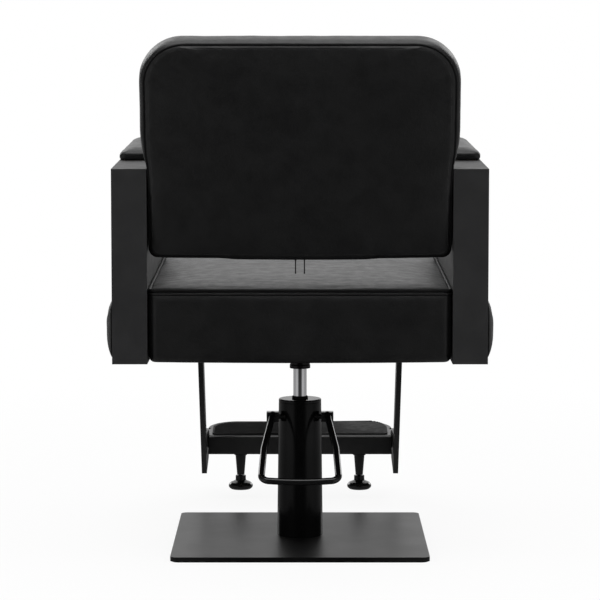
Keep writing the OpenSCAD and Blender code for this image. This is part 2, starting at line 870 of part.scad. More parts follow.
module arm_shell_left() { arm_shell(); }
module arm_shell_right() { mirror([1, 0, 0]) arm_shell(); }

module arm_floors() {
    color(paint)
    both_sides() translate([arm_x + arm_wall + running, arm_front_y + arm_wall + running, arm_z])
        cube([arm_w - 2 * (arm_wall + running), arm_len - 2 * (arm_wall + running), arm_wall]);
}

module arm_bolts() {
    bolt_in_x = box_x - rail_t - tnut_t;
    color(steel)
    both_sides() for (y = arm_bolt_ys) translate([0, y, arm_bolt_z]) rotate([0, 90, 0]) {
        translate([0, 0, bolt_in_x - over]) cylinder(r = bolt_r, h = arm_out_x - bolt_in_x + 2 * over);
        translate([0, 0, arm_out_x]) cylinder(r = head_r, h = low_head_h);
        translate([0, 0, bolt_in_x]) cylinder(r = tnut_r, h = tnut_t);
    }
}

// Ring of a side pad: inset from its edge, at a distance from the arm's face
function side_pad_ring(inset, x, bow) =
    let (z0 = arm_z + side_pad_rise, half = side_pad_len / 2, r = side_pad_h / 4)
    [for (p = outline(side_pad_mid_y - half + inset, side_pad_mid_y + half - inset,
            z0 + inset, z0 + side_pad_h - inset, max(r - inset, over), max(r - inset, over)))
        [arm_out_x + x - bow * pow(abs(p[0] - side_pad_mid_y) / half, 4), p[0], p[1]]];

module side_pad() {
    edge = 1.5;
    bow = 5;
    reach_share = 0.94;
    reach = side_pad_h / 2 * reach_share;
    inset_shares = [0, 0.12, 0.26, 0.42, 0.6, 0.8, 1];
    z_mid = arm_z + side_pad_rise + side_pad_h / 2;
    color(leather)
    difference() {
        skin(concat([side_pad_ring(0, seat_clear, 0)],
            [for (f = inset_shares) side_pad_ring(reach * f,
                seat_clear + edge + (side_pad_crown - edge) * (1 - pow(1 - f, 2)), bow * f)]));
        translate([arm_out_x - over, side_pad_mid_y - side_pad_len / 2 + side_board_margin - seat_clear,
                z_mid - side_pad_h / 2 + side_board_margin - seat_clear])
            cube([over + side_board_t + seat_clear, side_pad_len - 2 * (side_board_margin - seat_clear),
                side_pad_h - 2 * (side_board_margin - seat_clear)]);
    }
}

module side_pad_left() { side_pad(); }
module side_pad_right() { mirror([1, 0, 0]) side_pad(); }

module side_pad_boards() {
    z0 = arm_z + side_pad_rise + side_board_margin;
    color(wood)
    both_sides() difference() {
        translate([arm_out_x, side_pad_mid_y - side_pad_len / 2 + side_board_margin, z0])
            cube([side_board_t, side_pad_len - 2 * side_board_margin, side_pad_h - 2 * side_board_margin]);
        for (y = arm_bolt_ys) translate([arm_out_x, y, arm_bolt_z])
            cross_cylinder(head_r + hole_clear, 4 * side_board_t);
    }
}

// Ring of an armrest pad in the arm top's frame
function pad_ring(inset, z, r) =
    [for (p = outline(arm_mid_x - pad_w / 2 + inset, arm_mid_x + pad_w / 2 - inset,
            -arm_len + inset, -arm_len + pad_len - inset, r, r)) [p[0], p[1], z]];

module armrest_pad() {
    pinch = 2;
    pad_corner_r = 12;
    reach_share = 0.9;
    swell_shares = [0.35, 0.75];
    reach = pad_w / 2 * reach_share;
    inset_shares = [0.1, 0.24, 0.42, 0.64, 1];
    color(leather)
    difference() {
        on_arm_top() skin(concat(
            [pad_ring(pinch, seat_clear, pad_corner_r)],
            [for (f = swell_shares) pad_ring(0, pad_edge_h * f, pad_corner_r)],
            [for (f = inset_shares) pad_ring(reach * f,
                pad_edge_h + (pad_crown_h - pad_edge_h) * (1 - pow(1 - f, 2)),
                max(pad_corner_r, reach * f / 2))]));
        on_arm_top() translate([arm_mid_x - pad_w / 2 + pad_board_margin - seat_clear,
                -arm_len + pad_board_margin - seat_clear, -over])
            cube([pad_w - 2 * (pad_board_margin - seat_clear),
                pad_len - 2 * (pad_board_margin - seat_clear), over + pad_board_t + seat_clear]);
    }
}

module armrest_pad_left() { armrest_pad(); }
module armrest_pad_right() { mirror([1, 0, 0]) armrest_pad(); }

module armrest_boards() {
    color(wood)
    both_sides() difference() {
        on_arm_top() translate([arm_mid_x - pad_w / 2 + pad_board_margin, -arm_len + pad_board_margin, 0])
            cube([pad_w - 2 * pad_board_margin, pad_len - 2 * pad_board_margin, pad_board_t]);
        at_pad_screws() cylinder(r = screw_r + running, h = 4 * pad_board_t, center = true);
    }
}

module armrest_screws() {
    color(steel)
    both_sides() at_pad_screws() {
        translate([0, 0, -arm_wall - screw_head_h]) cylinder(r = screw_head_r, h = screw_head_h);
        translate([0, 0, -arm_wall - over]) cylinder(r = screw_r, h = arm_wall + pad_board_t);
    }
}

// Backrest

// Share of the way from the foot width to the top width, at a height
widen_share = 0.16;
function widen(z) =
    let (f = min(max((z - back_held_h) / (back_h * widen_share), 0), 1))
    (1 - cos(180 * f)) / 2;

// Ring of the backrest: inset from its outline, at a depth behind its rear face
function back_ring(inset, depth, bulge, r_low, r_high) =
    [for (p = outline(-back_foot_w / 2 + inset, back_foot_w / 2 - inset, inset, back_h - inset,
            r_low, r_high))
        let (f = widen(p[1]), side = p[0] / (back_foot_w / 2),
            grow = (back_side_swell + bulge) * f)
        [p[0] + grow * side, -depth, p[1] + bulge * pow(p[1] / back_h, 4)]];

module backrest_cushion() {
    pinch = 2.5;
    reach_share = 0.86;
    reach = back_h / 2 * reach_share;
    rear_crown = 3;
    rear_shares = [1, 0.6, 0.3, 0.1];
    front_shares = [0.05, 0.12, 0.25, 0.42, 0.65, 1];
    depth_shares = [0.12, 0.35, 0.65, 0.88];
    swell_shares = [0.55, 1, 1, 0.55];
    color(leather)
    difference() {
        on_back() skin(concat(
            [for (f = rear_shares) let (inset = pinch + (reach - pinch) * f)
                back_ring(inset, -rear_crown * crown(f), 0, max(back_foot_r, inset / 3),
                    max(back_top_r - inset, inset / 3))],
            [back_ring(pinch, 0, 0, back_foot_r, back_top_r - pinch)],
            [for (i = [0:3]) back_ring(pinch * (1 - swell_shares[i]), back_t * depth_shares[i],
                back_bulge * swell_shares[i], back_foot_r, back_top_r)],
            [back_ring(pinch, back_t, 0, back_foot_r, back_top_r - pinch)],
            [for (f = front_shares) let (inset = pinch + (reach - pinch) * f)
                back_ring(inset, back_t + back_crown * crown(f), 0, max(back_foot_r, inset / 3),
                    max(back_top_r - inset, inset / 3))]));
        on_back() back_core(seat_clear, over);
        at_back_bolts() {
            cross_cylinder(bolt_r + hole_clear, back_foot_w + 2 * back_bulge);
            both_sides() translate([batten_x - batten_w, 0, 0])
                cross_cylinder(tnut_r + seat_clear, 2 * (tnut_t + over + seat_clear));
        }
    }
}

// Board and battens inside the backrest, grown by a clearance and run out below
module back_core(grow, below) {
    x = back_board_x + grow;
    top = back_board_h + grow;
    r = back_top_r;
    translate([0, -back_skin + grow, 0]) rotate([90, 0, 0]) linear_extrude(board_t + 2 * grow) {
        translate([-x, -below]) square([2 * x, top + below - r]);
        translate([-x + r, 0]) square([2 * (x - r), top]);
        for (s = [-1, 1]) translate([s * (x - r), top - r]) circle(r);
    }
    for (s = [-1, 1])
        translate([s * (batten_x - batten_w / 2) - batten_w / 2 - grow,
                -back_skin - board_t - batten_d - grow, -below])
            cube([batten_w + 2 * grow, batten_d + 2 * grow, batten_h + grow + below]);
}

module backrest_frame() {
    color(wood)
    difference() {
        on_back() difference() {
            back_core(0, 0);
            translate([-back_foot_w, -back_t, -over]) cube([2 * back_foot_w, back_t, 2 * over]);
        }
        at_back_bolts() cross_cylinder(bolt_r + hole_clear, back_foot_w);
    }
}

module backrest_bolts() {
    bolt_in_x = batten_x - batten_w - tnut_t;
    color(steel)
    both_sides() at_back_bolts() rotate([0, 90, 0]) {
        translate([0, 0, bolt_in_x - over])
            cylinder(r = bolt_r, h = arm_x + arm_wall - bolt_in_x + 2 * over);
        translate([0, 0, arm_x + arm_wall]) cylinder(r = head_r, h = head_h, $fn = 6);
        translate([0, 0, bolt_in_x]) cylinder(r = tnut_r, h = tnut_t);
    }
}

module backrest_welt() {
    color(leather)
    on_back() for (depth = [welt_r / 2, back_t - welt_r / 2])
        piping(back_ring(welt_r, depth, 0, back_foot_r, back_top_r - welt_r), [0, 1, 0], 8);
}

module zip_chain() {
    color(rubber)
    on_back() {
        translate([-zip_len / 2, zip_y - zip_tape_w / 2, zip_top_z - zip_tape_t])
            cube([zip_len, zip_tape_w, zip_tape_t]);
        translate([-zip_len / 2, zip_y - zip_coil_w / 2, coil_foot_z])
            cube([zip_len, zip_coil_w, zip_coil_h + zip_tape_t / 2]);
    }
}

module zip_slider() {
    color(rubber)
    on_back() translate([zip_gap / 2, zip_y, 0]) difference() {
        union() {
            translate([-slider_len / 2, -slider_w / 2, slider_foot_z])
                cube([slider_len, slider_w, slider_h]);
            translate([-slider_lug_h / 2, -slider_lug_w / 2, zip_pivot_z])
                cube([slider_lug_h, slider_lug_w, slider_lug_h / 2 + over]);
            translate([0, 0, zip_pivot_z]) rotate([90, 0, 0])
                cylinder(r = slider_lug_h / 2, h = slider_lug_w, center = true);
        }
        translate([-slider_len, -zip_coil_w / 2 - seat_clear, coil_foot_z - seat_clear])
            cube([2 * slider_len, zip_coil_w + 2 * seat_clear, slider_h]);
        translate([0, 0, zip_pivot_z]) rotate([90, 0, 0])
            cylinder(r = zip_pin_r + running, h = slider_w, center = true);
    }
}

module zip_slider_left() { zip_slider(); }
module zip_slider_right() { mirror([1, 0, 0]) zip_slider(); }

module zip_pull() {
    fork_w = slider_lug_w + 2 * seat_clear + 2 * pull_cheek_t;
    fork_share = 0.8;
    stem_share = 0.7;
    fork_h = slider_lug_h * fork_share;
    color(rubber)
    on_back() translate([zip_gap / 2, zip_y, zip_pivot_z]) {
        difference() {
            union() {
                rotate([90, 0, 0]) cylinder(r = pull_r, h = fork_w, center = true);
                translate([-pull_r, -fork_w / 2, -fork_h]) cube([2 * pull_r, fork_w, fork_h]);
            }
            translate([-slider_len, -slider_lug_w / 2 - seat_clear, -slider_lug_h / 2 - seat_clear])
                cube([2 * slider_len, slider_lug_w + 2 * seat_clear, slider_h + slider_lug_h]);
        }
        rotate([90, 0, 0]) cylinder(r = zip_pin_r, h = fork_w, center = true);
        translate([0, 0, -zip_pull_len + pull_r]) {
            cylinder(r = pull_r * stem_share, h = zip_pull_len - fork_h - pull_r);
            sphere(pull_r);
        }
    }
}

module zip_pull_left() { zip_pull(); }
module zip_pull_right() { mirror([1, 0, 0]) zip_pull(); }

// Footrest

// Side view of a footrest arm, as [y, z]
foot_arm_lean = (foot_arm_foot_y - foot_arm_top_y) / (seat_z - foot_arm_foot_z);
cheek_top_y = foot_arm_top_y + foot_arm_d + (seat_z - cheek_rear_z) * foot_arm_lean;
foot_arm_points = [
    [-foot_arm_top_y, seat_z], [-foot_arm_foot_y, foot_arm_foot_z],
    [-cheek_front_y, foot_arm_foot_z + cheek_foot_rise], [-cheek_front_y, cheek_front_z],
    [-cheek_top_y, cheek_rear_z], [-foot_arm_top_y - foot_arm_d, seat_z]];

module at_tray_bolts() {
    for (d = tray_bolt_ds) on_tray() translate([foot_arm_x, -d, -tray_side_h * tray_bolt_share]) children();
}

module footrest_arm() {
    color(paint)
    difference() {
        union() {
            translate([foot_arm_x, 0, 0]) rotate([90, 0, 90])
                linear_extrude(foot_arm_t) polygon(foot_arm_points);
            translate([foot_w / 2 - foot_tab_w, -foot_arm_top_y - foot_arm_d + over, seat_z - foot_tab_t])
                cube([foot_tab_w, foot_arm_d - foot_tab_t * foot_arm_lean - 2 * over, foot_tab_t]);
        }
        translate([foot_tab_mid_x, foot_tab_y, seat_z - foot_tab_t - over])
            cylinder(r = bolt_r + hole_clear, h = foot_tab_t + 2 * over);
        at_tray_bolts() cross_cylinder(foot_bolt_r + hole_clear, 4 * foot_arm_t);
    }
}

module footrest_arm_left() { footrest_arm(); }
module footrest_arm_right() { mirror([1, 0, 0]) footrest_arm(); }

// Top view of the tray, inset from its edges, as a flat shape
module tray_shape(inset) {
    w = tray_half_w - inset;
    r = tray_corner_r - inset;
    front = -tray_d + inset;
    polygon([[-w, front + r], [w, front + r], [w, -tray_ear], [tray_rear_half_w - inset, -inset],
        [-tray_rear_half_w + inset, -inset], [-w, -tray_ear]]);
    translate([-w + r, front]) square([2 * (w - r), r + over]);
    for (s = [-1, 1]) translate([s * (w - r), front + r]) circle(r);
}

module footrest_tray() {
    color(paint)
    difference() {
        on_tray() {
            translate([0, 0, -tray_t]) linear_extrude(tray_t) tray_shape(0);
            translate([-tray_rear_half_w, -tray_t, -tray_flange_h])
                cube([2 * tray_rear_half_w, tray_t, tray_flange_h - tray_t / 2]);
            for (s = [-1, 1])
                translate([s * (tray_half_w - tray_t / 2) - tray_t / 2, -tray_d + tray_corner_r, -tray_side_h])
                cube([tray_t, tray_d - tray_corner_r - tray_ear, tray_side_h - tray_t / 2]);
        }
        both_sides() at_tray_bolts() cross_cylinder(foot_bolt_r + hole_clear, 4 * foot_arm_t);
    }
}

module footrest_mat() {
    count = floor((tray_d - 2 * mat_inset) / rib_step);
    color(rubber)
    on_tray() {
        linear_extrude(mat_t) tray_shape(mat_inset);
        intersection() {
            linear_extrude(mat_t + rib_h) tray_shape(mat_inset + over);
            for (i = [0:count - 1])
                translate([-tray_half_w, -mat_inset - over - rib_w - i * rib_step, mat_t / 2])
                    cube([2 * tray_half_w, rib_w, mat_t]);
        }
    }
}

module footrest_bolts() {
    color(steel)
    both_sides() {
        at_tray_bolts() rotate([0, 90, 0]) {
            translate([0, 0, -tray_gap - 2 * tray_t])
                cylinder(r = foot_bolt_r, h = foot_arm_t + 2 * tray_t + tray_gap);
            translate([0, 0, foot_arm_t]) cylinder(r = foot_bolt_head_r, h = foot_bolt_head_h);
            translate([0, 0, -tray_gap - tray_t - foot_bolt_head_h])
                cylinder(r = foot_bolt_head_r, h = foot_bolt_head_h, $fn = 6);
        }
        translate([foot_tab_mid_x, foot_tab_y, seat_z - foot_tab_t]) {
            translate([0, 0, -head_h]) cylinder(r = head_r, h = head_h, $fn = 6);
            translate([0, 0, -over])
                cylinder(r = bolt_r, h = over + foot_tab_t + base_board_t + 2 * tnut_t);
            translate([0, 0, foot_tab_t + base_board_t]) cylinder(r = tnut_r, h = tnut_t);
        }
    }
}

module foot_legs() {
    color(paint)
    both_sides() difference() {
        translate([foot_x, -foot_y, 0]) {
            translate([0, 0, leg_foot_z]) cylinder(r1 = leg_foot_r, r2 = leg_top_r, h = leg_taper_h);
            translate([0, 0, leg_boss_z]) cylinder(r = leg_boss_r, h = tray_z);
        }
        on_tray() translate([-foot_w, -tray_d - foot_y, -tray_t])
            cube([2 * foot_w, tray_d + 2 * foot_y, foot_w]);
        translate([foot_x, -foot_y, leg_foot_z - over])
            cylinder(r = stud_r + running, h = leg_boss_z - leg_foot_z + over);
    }
}

module foot_stud() {
    color(steel)
    translate([foot_x, -foot_y, glide_lift + glide_edge_h])
        cylinder(r = stud_r, h = leg_boss_z - glide_lift - glide_edge_h - over);
}

module foot_stud_left() { foot_stud(); }
module foot_stud_right() { mirror([1, 0, 0]) foot_stud(); }

module foot_glide() {
    dome_steps = 6;
    dome_h = glide_disc_h - glide_edge_h;
    dome = [for (i = [0:dome_steps]) let (a = 90 * i / dome_steps)
        [glide_nut_r + (glide_r - glide_nut_r) * cos(a), glide_edge_h + dome_h * sin(a)]];
    rim = 2;
    color(gloss)
    translate([foot_x, -foot_y, glide_lift]) difference() {
        rotate_extrude() polygon(concat([[0, 0], [glide_r - rim, 0], [glide_r, rim]], dome,
            [[glide_nut_r, glide_top_z - glide_lift], [0, glide_top_z - glide_lift]]));
        translate([0, 0, glide_edge_h - face_clear]) cylinder(r = stud_r + running, h = glide_top_z);
    }
}

module foot_glide_left() { foot_glide(); }
module foot_glide_right() { mirror([1, 0, 0]) foot_glide(); }

base_liner();
base_plate();
base_bolts();
pump_flange();
pump_barrel();
oil_reservoir();
pump_head();
shaft_bushes();
rod_guide();
column_cover();
column_cap();
rod_wiper();
pedal_shaft();
pedal_hubs();
pedal_loop();
pedal_cam();
pump_plunger();
plunger_spring();
piston_rod();
piston_head();
piston_seal();
thrust_race();
swivel_hub();
seat_plate();
seat_plate_bolts();
seat_base_board();
seat_frame();
seat_top_board();
seat_cushion();
seat_welt();
arm_shell_left();
arm_shell_right();
arm_floors();
arm_bolts();
side_pad_left();
side_pad_right();
side_pad_boards();
armrest_pad_left();
armrest_pad_right();
armrest_boards();
armrest_screws();
backrest_cushion();
backrest_frame();
backrest_bolts();
backrest_welt();
zip_chain();
zip_slider_left();
zip_slider_right();
zip_pull_left();
zip_pull_right();
footrest_arm_left();
footrest_arm_right();
footrest_tray();
footrest_mat();
footrest_bolts();
foot_legs();
foot_stud_left();
foot_stud_right();
foot_glide_left();
foot_glide_right();
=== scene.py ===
from math import copysign, cos, pi, radians, sin, sqrt, tan

import bmesh
import bpy
import numpy as np
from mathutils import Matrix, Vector, noise
from mathutils.bvhtree import BVHTree
from mathutils.kdtree import KDTree


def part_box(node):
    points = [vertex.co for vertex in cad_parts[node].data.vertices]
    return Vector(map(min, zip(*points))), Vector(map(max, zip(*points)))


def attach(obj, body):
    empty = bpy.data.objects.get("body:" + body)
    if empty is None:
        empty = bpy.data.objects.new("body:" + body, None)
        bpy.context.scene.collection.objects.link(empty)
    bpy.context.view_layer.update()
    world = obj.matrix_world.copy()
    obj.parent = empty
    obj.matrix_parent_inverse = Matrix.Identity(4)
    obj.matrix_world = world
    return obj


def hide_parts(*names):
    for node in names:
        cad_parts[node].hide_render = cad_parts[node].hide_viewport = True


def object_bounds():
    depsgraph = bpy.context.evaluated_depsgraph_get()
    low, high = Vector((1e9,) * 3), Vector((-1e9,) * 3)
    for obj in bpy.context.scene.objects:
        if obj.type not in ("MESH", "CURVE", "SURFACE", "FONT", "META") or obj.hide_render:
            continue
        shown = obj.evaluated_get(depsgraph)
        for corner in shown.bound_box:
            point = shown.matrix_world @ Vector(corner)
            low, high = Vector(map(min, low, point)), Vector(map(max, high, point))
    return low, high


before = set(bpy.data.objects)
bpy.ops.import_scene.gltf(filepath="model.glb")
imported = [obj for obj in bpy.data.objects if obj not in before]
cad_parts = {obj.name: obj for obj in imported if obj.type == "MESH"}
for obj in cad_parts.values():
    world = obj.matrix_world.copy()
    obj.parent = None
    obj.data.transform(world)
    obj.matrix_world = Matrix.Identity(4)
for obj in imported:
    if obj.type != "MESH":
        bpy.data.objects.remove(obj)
cad_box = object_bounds()
scene = bpy.context.scene

# Camera
# The chair is photographed from behind, at sitting height and from well back,
# looking slightly down at it.

SENSOR_W, FOCAL_PX, FRAME_PX = 36, 2601, 600
CAMERA_PITCH = 5.30


def linked(name, data):
    """A new object in the scene."""
    made = bpy.data.objects.new(name, data)
    scene.collection.objects.link(made)
    return made


camera = linked("camera", bpy.data.cameras.new("camera"))
camera.data.sensor_width = SENSOR_W
camera.data.lens = SENSOR_W * FOCAL_PX / FRAME_PX
camera.location = (0, 4.6594, 0.8677)
camera.rotation_euler = (radians(90 - CAMERA_PITCH), 0, pi)
scene.camera = camera

# Studio
# A pale floor under a white backdrop, one wide soft box overhead, two at the sides
# and two beyond the chair. The room behind the camera is dim.

scene.view_settings.view_transform = "Standard"


def node(tree, kind, **settings):
    made = tree.nodes.new(kind)
    for key, value in settings.items():
        setattr(made, key, value)
    return made


def wire(*links):
    for source, target in links:
        source.id_data.links.new(source, target)


def sums(operation, made, *others):
    """Joins a node's output with other outputs or numbers by one operation, in turn."""
    for other in others:
        join = node(made.id_data, "ShaderNodeMath", operation=operation)
        wire((made, join.inputs[0]))
        if isinstance(other, (int, float)):
            join.inputs[1].default_value = other
        else:
            wire((other, join.inputs[1]))
        made = join.outputs[0]
    return made


def ramp(value, low, high, to_low=0.0, to_high=1.0):
    made = node(value.id_data, "ShaderNodeMapRange", interpolation_type="SMOOTHSTEP")
    for k, v in enumerate((low, high, to_low, to_high), 1):
        made.inputs[k].default_value = v
    wire((value, made.inputs[0]))
    return made.outputs[0]


ROOM_FILL = 0.62
world = bpy.data.worlds.new("room")
scene.world = world
world.use_nodes = True
room = world.node_tree
room.nodes.clear()
rays = node(room, "ShaderNodeLightPath")
split = node(room, "ShaderNodeSeparateXYZ")
wire((node(room, "ShaderNodeTexCoord").outputs["Generated"], split.inputs[0]))
up = split.outputs[2]
away = sums("MULTIPLY", split.outputs[1], -1.0)
aside = sums("ABSOLUTE", split.outputs[0], 0.0)
backdrop = sums("MULTIPLY", ramp(away, 0.35, 0.7), ramp(aside, 0.35, 0.6, 1, 0),
                ramp(up, 0.05, 0.22, 0.62, 1))
far_boxes = sums("MULTIPLY", ramp(aside, 0.33, 0.42), ramp(aside, 0.6, 0.7, 4, 0),
                 ramp(up, 0.12, 0.2), ramp(up, 0.42, 0.52, 1, 0), ramp(away, 0.5, 0.65))
side_wall = sums("ADD", sums("MULTIPLY", ramp(away, -0.95, -0.75), ramp(away, -0.45, -0.1, 0.26, 0.1),
                             ramp(up, 0.2, 0.55, 1, 0.3)), 0.025)
overhead = ramp(up, 0.72, 0.9, 0, 0.7)
gloss_room = sums("MAXIMUM", backdrop, side_wall, overhead, far_boxes)
plain = sums("MAXIMUM", rays.outputs["Is Camera Ray"], rays.outputs["Is Transmission Ray"])
glossy = rays.outputs["Is Glossy Ray"]
fill = ramp(sums("MAXIMUM", plain, glossy), 0, 1, ROOM_FILL, 0)
glow = node(room, "ShaderNodeBackground")
glow.inputs["Color"].default_value = (1, 1, 1, 1)
wire((sums("ADD", plain, sums("MULTIPLY", glossy, gloss_room), fill), glow.inputs["Strength"]),
     (glow.outputs[0], node(room, "ShaderNodeOutputWorld").inputs[0]))


def lamp(name, place, aim, size, power, in_gloss):
    made = linked(name, bpy.data.lights.new(name, "AREA"))
    made.data.shape = "RECTANGLE"
    made.data.size, made.data.size_y = size
    made.data.energy = power
    made.location = place
    made.rotation_euler = (Vector(aim) - Vector(place)).to_track_quat("-Z", "Y").to_euler()
    made.visible_glossy = in_gloss


SIDES = (("left", 1), ("right", -1))
lamp("soft_box_overhead", (0, 0.6, 3.0), (0, 0, 0.5), (2.6, 2.2), 38, True)
for side, sign in reversed(SIDES):
    lamp("soft_box_side_" + side, (sign * 2.6, 2.4, 1.7), (0, 0, 0.45), (1.4, 1.8), 30, False)
    lamp("soft_box_far_" + side, (sign * 1.3, -1.7, 2.3), (0, 0, 0.4), (1.5, 1.1), 8, True)

bpy.ops.mesh.primitive_plane_add(size=40)
floor = bpy.context.object
floor.name = "floor"
sweep = bpy.data.materials.new("pale_sweep")
sweep.use_nodes = True
paper = sweep.node_tree
paper.nodes.clear()
path_ray = node(paper, "ShaderNodeLightPath")
spot = node(paper, "ShaderNodeTexCoord").outputs["Object"]
spot_xyz = node(paper, "ShaderNodeSeparateXYZ")
spot_length = node(paper, "ShaderNodeVectorMath", operation="LENGTH")
wire((spot, spot_xyz.inputs[0]), (spot, spot_length.inputs[0]))
distance = spot_length.outputs["Value"]
toward = sums("DIVIDE", spot_xyz.outputs[1], distance)
across = sums("DIVIDE", sums("ABSOLUTE", spot_xyz.outputs[0], 0.0), distance)
sideways = sums("MULTIPLY", ramp(toward, 0.95, 0.75), ramp(toward, 0.1, 0.45, 0.16, 0.24),
                ramp(distance, 1.5, 2.3, 1, 1.6))
far_floor = sums("MULTIPLY", ramp(distance, 3, 5, 0, 0.7), ramp(toward, -0.6, -0.3, 1, 0),
                 ramp(across, 0.35, 0.6, 1, 0))
lit_paper = node(paper, "ShaderNodeBsdfDiffuse")
lit_paper.inputs["Color"].default_value = (0.8, 0.8, 0.8, 1)
white_paper = node(paper, "ShaderNodeEmission")
dim_paper = node(paper, "ShaderNodeEmission")
seen_paper = node(paper, "ShaderNodeMixShader")
gloss_paper = node(paper, "ShaderNodeMixShader")
wire((sums("ADD", sums("MAXIMUM", sideways, far_floor), 0.04), dim_paper.inputs["Strength"]),
     (sums("MULTIPLY", path_ray.outputs["Is Camera Ray"], ramp(distance, 0.8, 2.4, 0.9, 1)),
      seen_paper.inputs[0]),
     (lit_paper.outputs[0], seen_paper.inputs[1]), (white_paper.outputs[0], seen_paper.inputs[2]),
     (path_ray.outputs["Is Glossy Ray"], gloss_paper.inputs[0]),
     (seen_paper.outputs[0], gloss_paper.inputs[1]), (dim_paper.outputs[0], gloss_paper.inputs[2]),
     (gloss_paper.outputs[0], node(paper, "ShaderNodeOutputMaterial").inputs[0]))
floor.data.materials.append(sweep)

# Base plate
# A square sheet of steel with rounded corners and broken edges, in satin black
# powder coat. The pump stands on it and four screws come up through it.


def grain(place, kind, size, detail):
    """Height of one kind of surface grain, whose features are about size metres wide."""
    if kind == "pebble":
        made = node(place.id_data, "ShaderNodeTexVoronoi", feature="SMOOTH_F1")
        made.inputs["Smoothness"].default_value = 0.4
    else:
        made = node(place.id_data, "ShaderNodeTexNoise")
        made.inputs["Detail"].default_value = detail
        made.inputs["Roughness"].default_value = 0.55
    made.inputs["Scale"].default_value = 1 / size
    wire((place, made.inputs["Vector"]))
    return made.outputs["Distance" if kind == "pebble" else 0]


def finish(name, dark, light, roughness, grains, patch=0.03, stretch=(1, 1, 1), **shader):
    """A material: colour from dark to light (a number is a grey) and roughness between
    two values in soft patches, and grains as (kind, width, depth in metres, detail)."""
    material = bpy.data.materials.new(name)
    material.use_nodes = True
    tree = material.node_tree
    surface = tree.nodes["Principled BSDF"]
    for key, value in shader.items():
        surface.inputs[key.replace("_", " ")].default_value = value
    place = node(tree, "ShaderNodeTexCoord")
    turned_place = node(tree, "ShaderNodeMapping")
    turned_place.inputs["Scale"].default_value = stretch
    wire((place.outputs["Object"], turned_place.inputs["Vector"]))
    at = turned_place.outputs[0]
    tint = node(tree, "ShaderNodeMix", data_type="RGBA")
    tint.inputs[6].default_value = (*np.broadcast_to(dark, 3), 1)
    tint.inputs[7].default_value = (*np.broadcast_to(light, 3), 1)
    wire((ramp(grain(at, "cloud", patch, 4), 0.3, 0.7), tint.inputs[0]),
         (tint.outputs[2], surface.inputs["Base Color"]),
         (ramp(grain(at, "cloud", patch * 0.4, 3), 0.25, 0.75, *roughness), surface.inputs["Roughness"]))
    normal = None
    for kind, size, depth, detail in grains:
        bump = node(tree, "ShaderNodeBump")
        bump.inputs["Strength"].default_value = 1
        bump.inputs["Distance"].default_value = depth
        wire((grain(at, kind, size, detail), bump.inputs["Height"]))
        if normal:
            wire((normal, bump.inputs["Normal"]))
        normal = bump.outputs[0]
    if normal:
        wire((normal, surface.inputs["Normal"]))
    return material


def settle(piece, body, material, slot, *nodes):
    """Gives a finished piece its material, its CAD body and the nodes it stands for."""
    piece.data.materials.clear()
    piece.data.materials.append(material)
    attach(piece, body)
    if nodes:
        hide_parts(*nodes)


def shade(mesh, angle):
    mesh.shade_smooth()
    mesh.set_sharp_from_angle(angle=radians(angle))


def plain_mesh(piece):
    """Turns a piece with modifiers into the mesh that they make."""
    scene.view_layers[0].update()
    made = bpy.data.meshes.new_from_object(piece.evaluated_get(bpy.context.evaluated_depsgraph_get()))
    piece.modifiers.clear()
    piece.data = made
    return piece


def eased(source, name, edge, steps=3):
    """A copy of a CAD node with its edges broken by a small round."""
    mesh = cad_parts[source].data.copy()
    mesh.name = name
    piece = linked(name, mesh)
    work = bmesh.new()
    work.from_mesh(mesh)
    bmesh.ops.remove_doubles(work, verts=work.verts, dist=1e-6)
    bmesh.ops.dissolve_limit(work, angle_limit=radians(1), verts=work.verts, edges=work.edges)
    work.to_mesh(mesh)
    work.free()
    mesh.materials.clear()
    bevel = piece.modifiers.new("ease", "BEVEL")
    bevel.width = edge
    bevel.segments = steps
    bevel.limit_method = "ANGLE"
    bevel.angle_limit = radians(40)
    bevel.use_clamp_overlap = True
    plain_mesh(piece)
    shade(piece.data, 30)
    piece.modifiers.new("flat_faces", "WEIGHTED_NORMAL").keep_sharp = True
    return plain_mesh(piece)


satin_coat = finish(
    "satin_black_coat", (0.002, 0.002, 0.0021), (0.0026, 0.0026, 0.0027), (0.37, 0.4),
    [("cloud", 0.0016, 0.00003, 2)], patch=0.2, Specular_IOR_Level=0.33)
settle(eased("base_plate", "base_sheet", 0.0012), "base", satin_coat, "base_paint", "base_plate")

# Base liner and base screws
# A thin sheet of ribbed rubber is glued under the steel so that it grips the
# floor. Zinc-plated countersunk screws hold the pump's foot flange down.

rubber = finish("black_rubber", 0.004, 0.007, (0.55, 0.7),
                [("cloud", 0.0012, 0.00012, 3)], Specular_IOR_Level=0.12)
zinc = finish("zinc_plate", (0.5, 0.5, 0.52), (0.62, 0.62, 0.64), (0.28, 0.42),
              [("cloud", 0.0008, 0.00002, 2)], patch=0.008, Metallic=1.0)


def dress(material, *nodes):
    """Gives CAD nodes whose own shape is right their material."""
    for name in nodes:
        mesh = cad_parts[name].data
        mesh.materials.clear()
        mesh.materials.append(material)


dress(rubber, "base_liner", "piston_seal")
dress(zinc, "base_bolts")

# Foot pump
# Turned steel barrel, pressed reservoir tube and a cast head with bronze bushes,
# all inside the column and wet with oil. A cam on the pedal shaft works it.

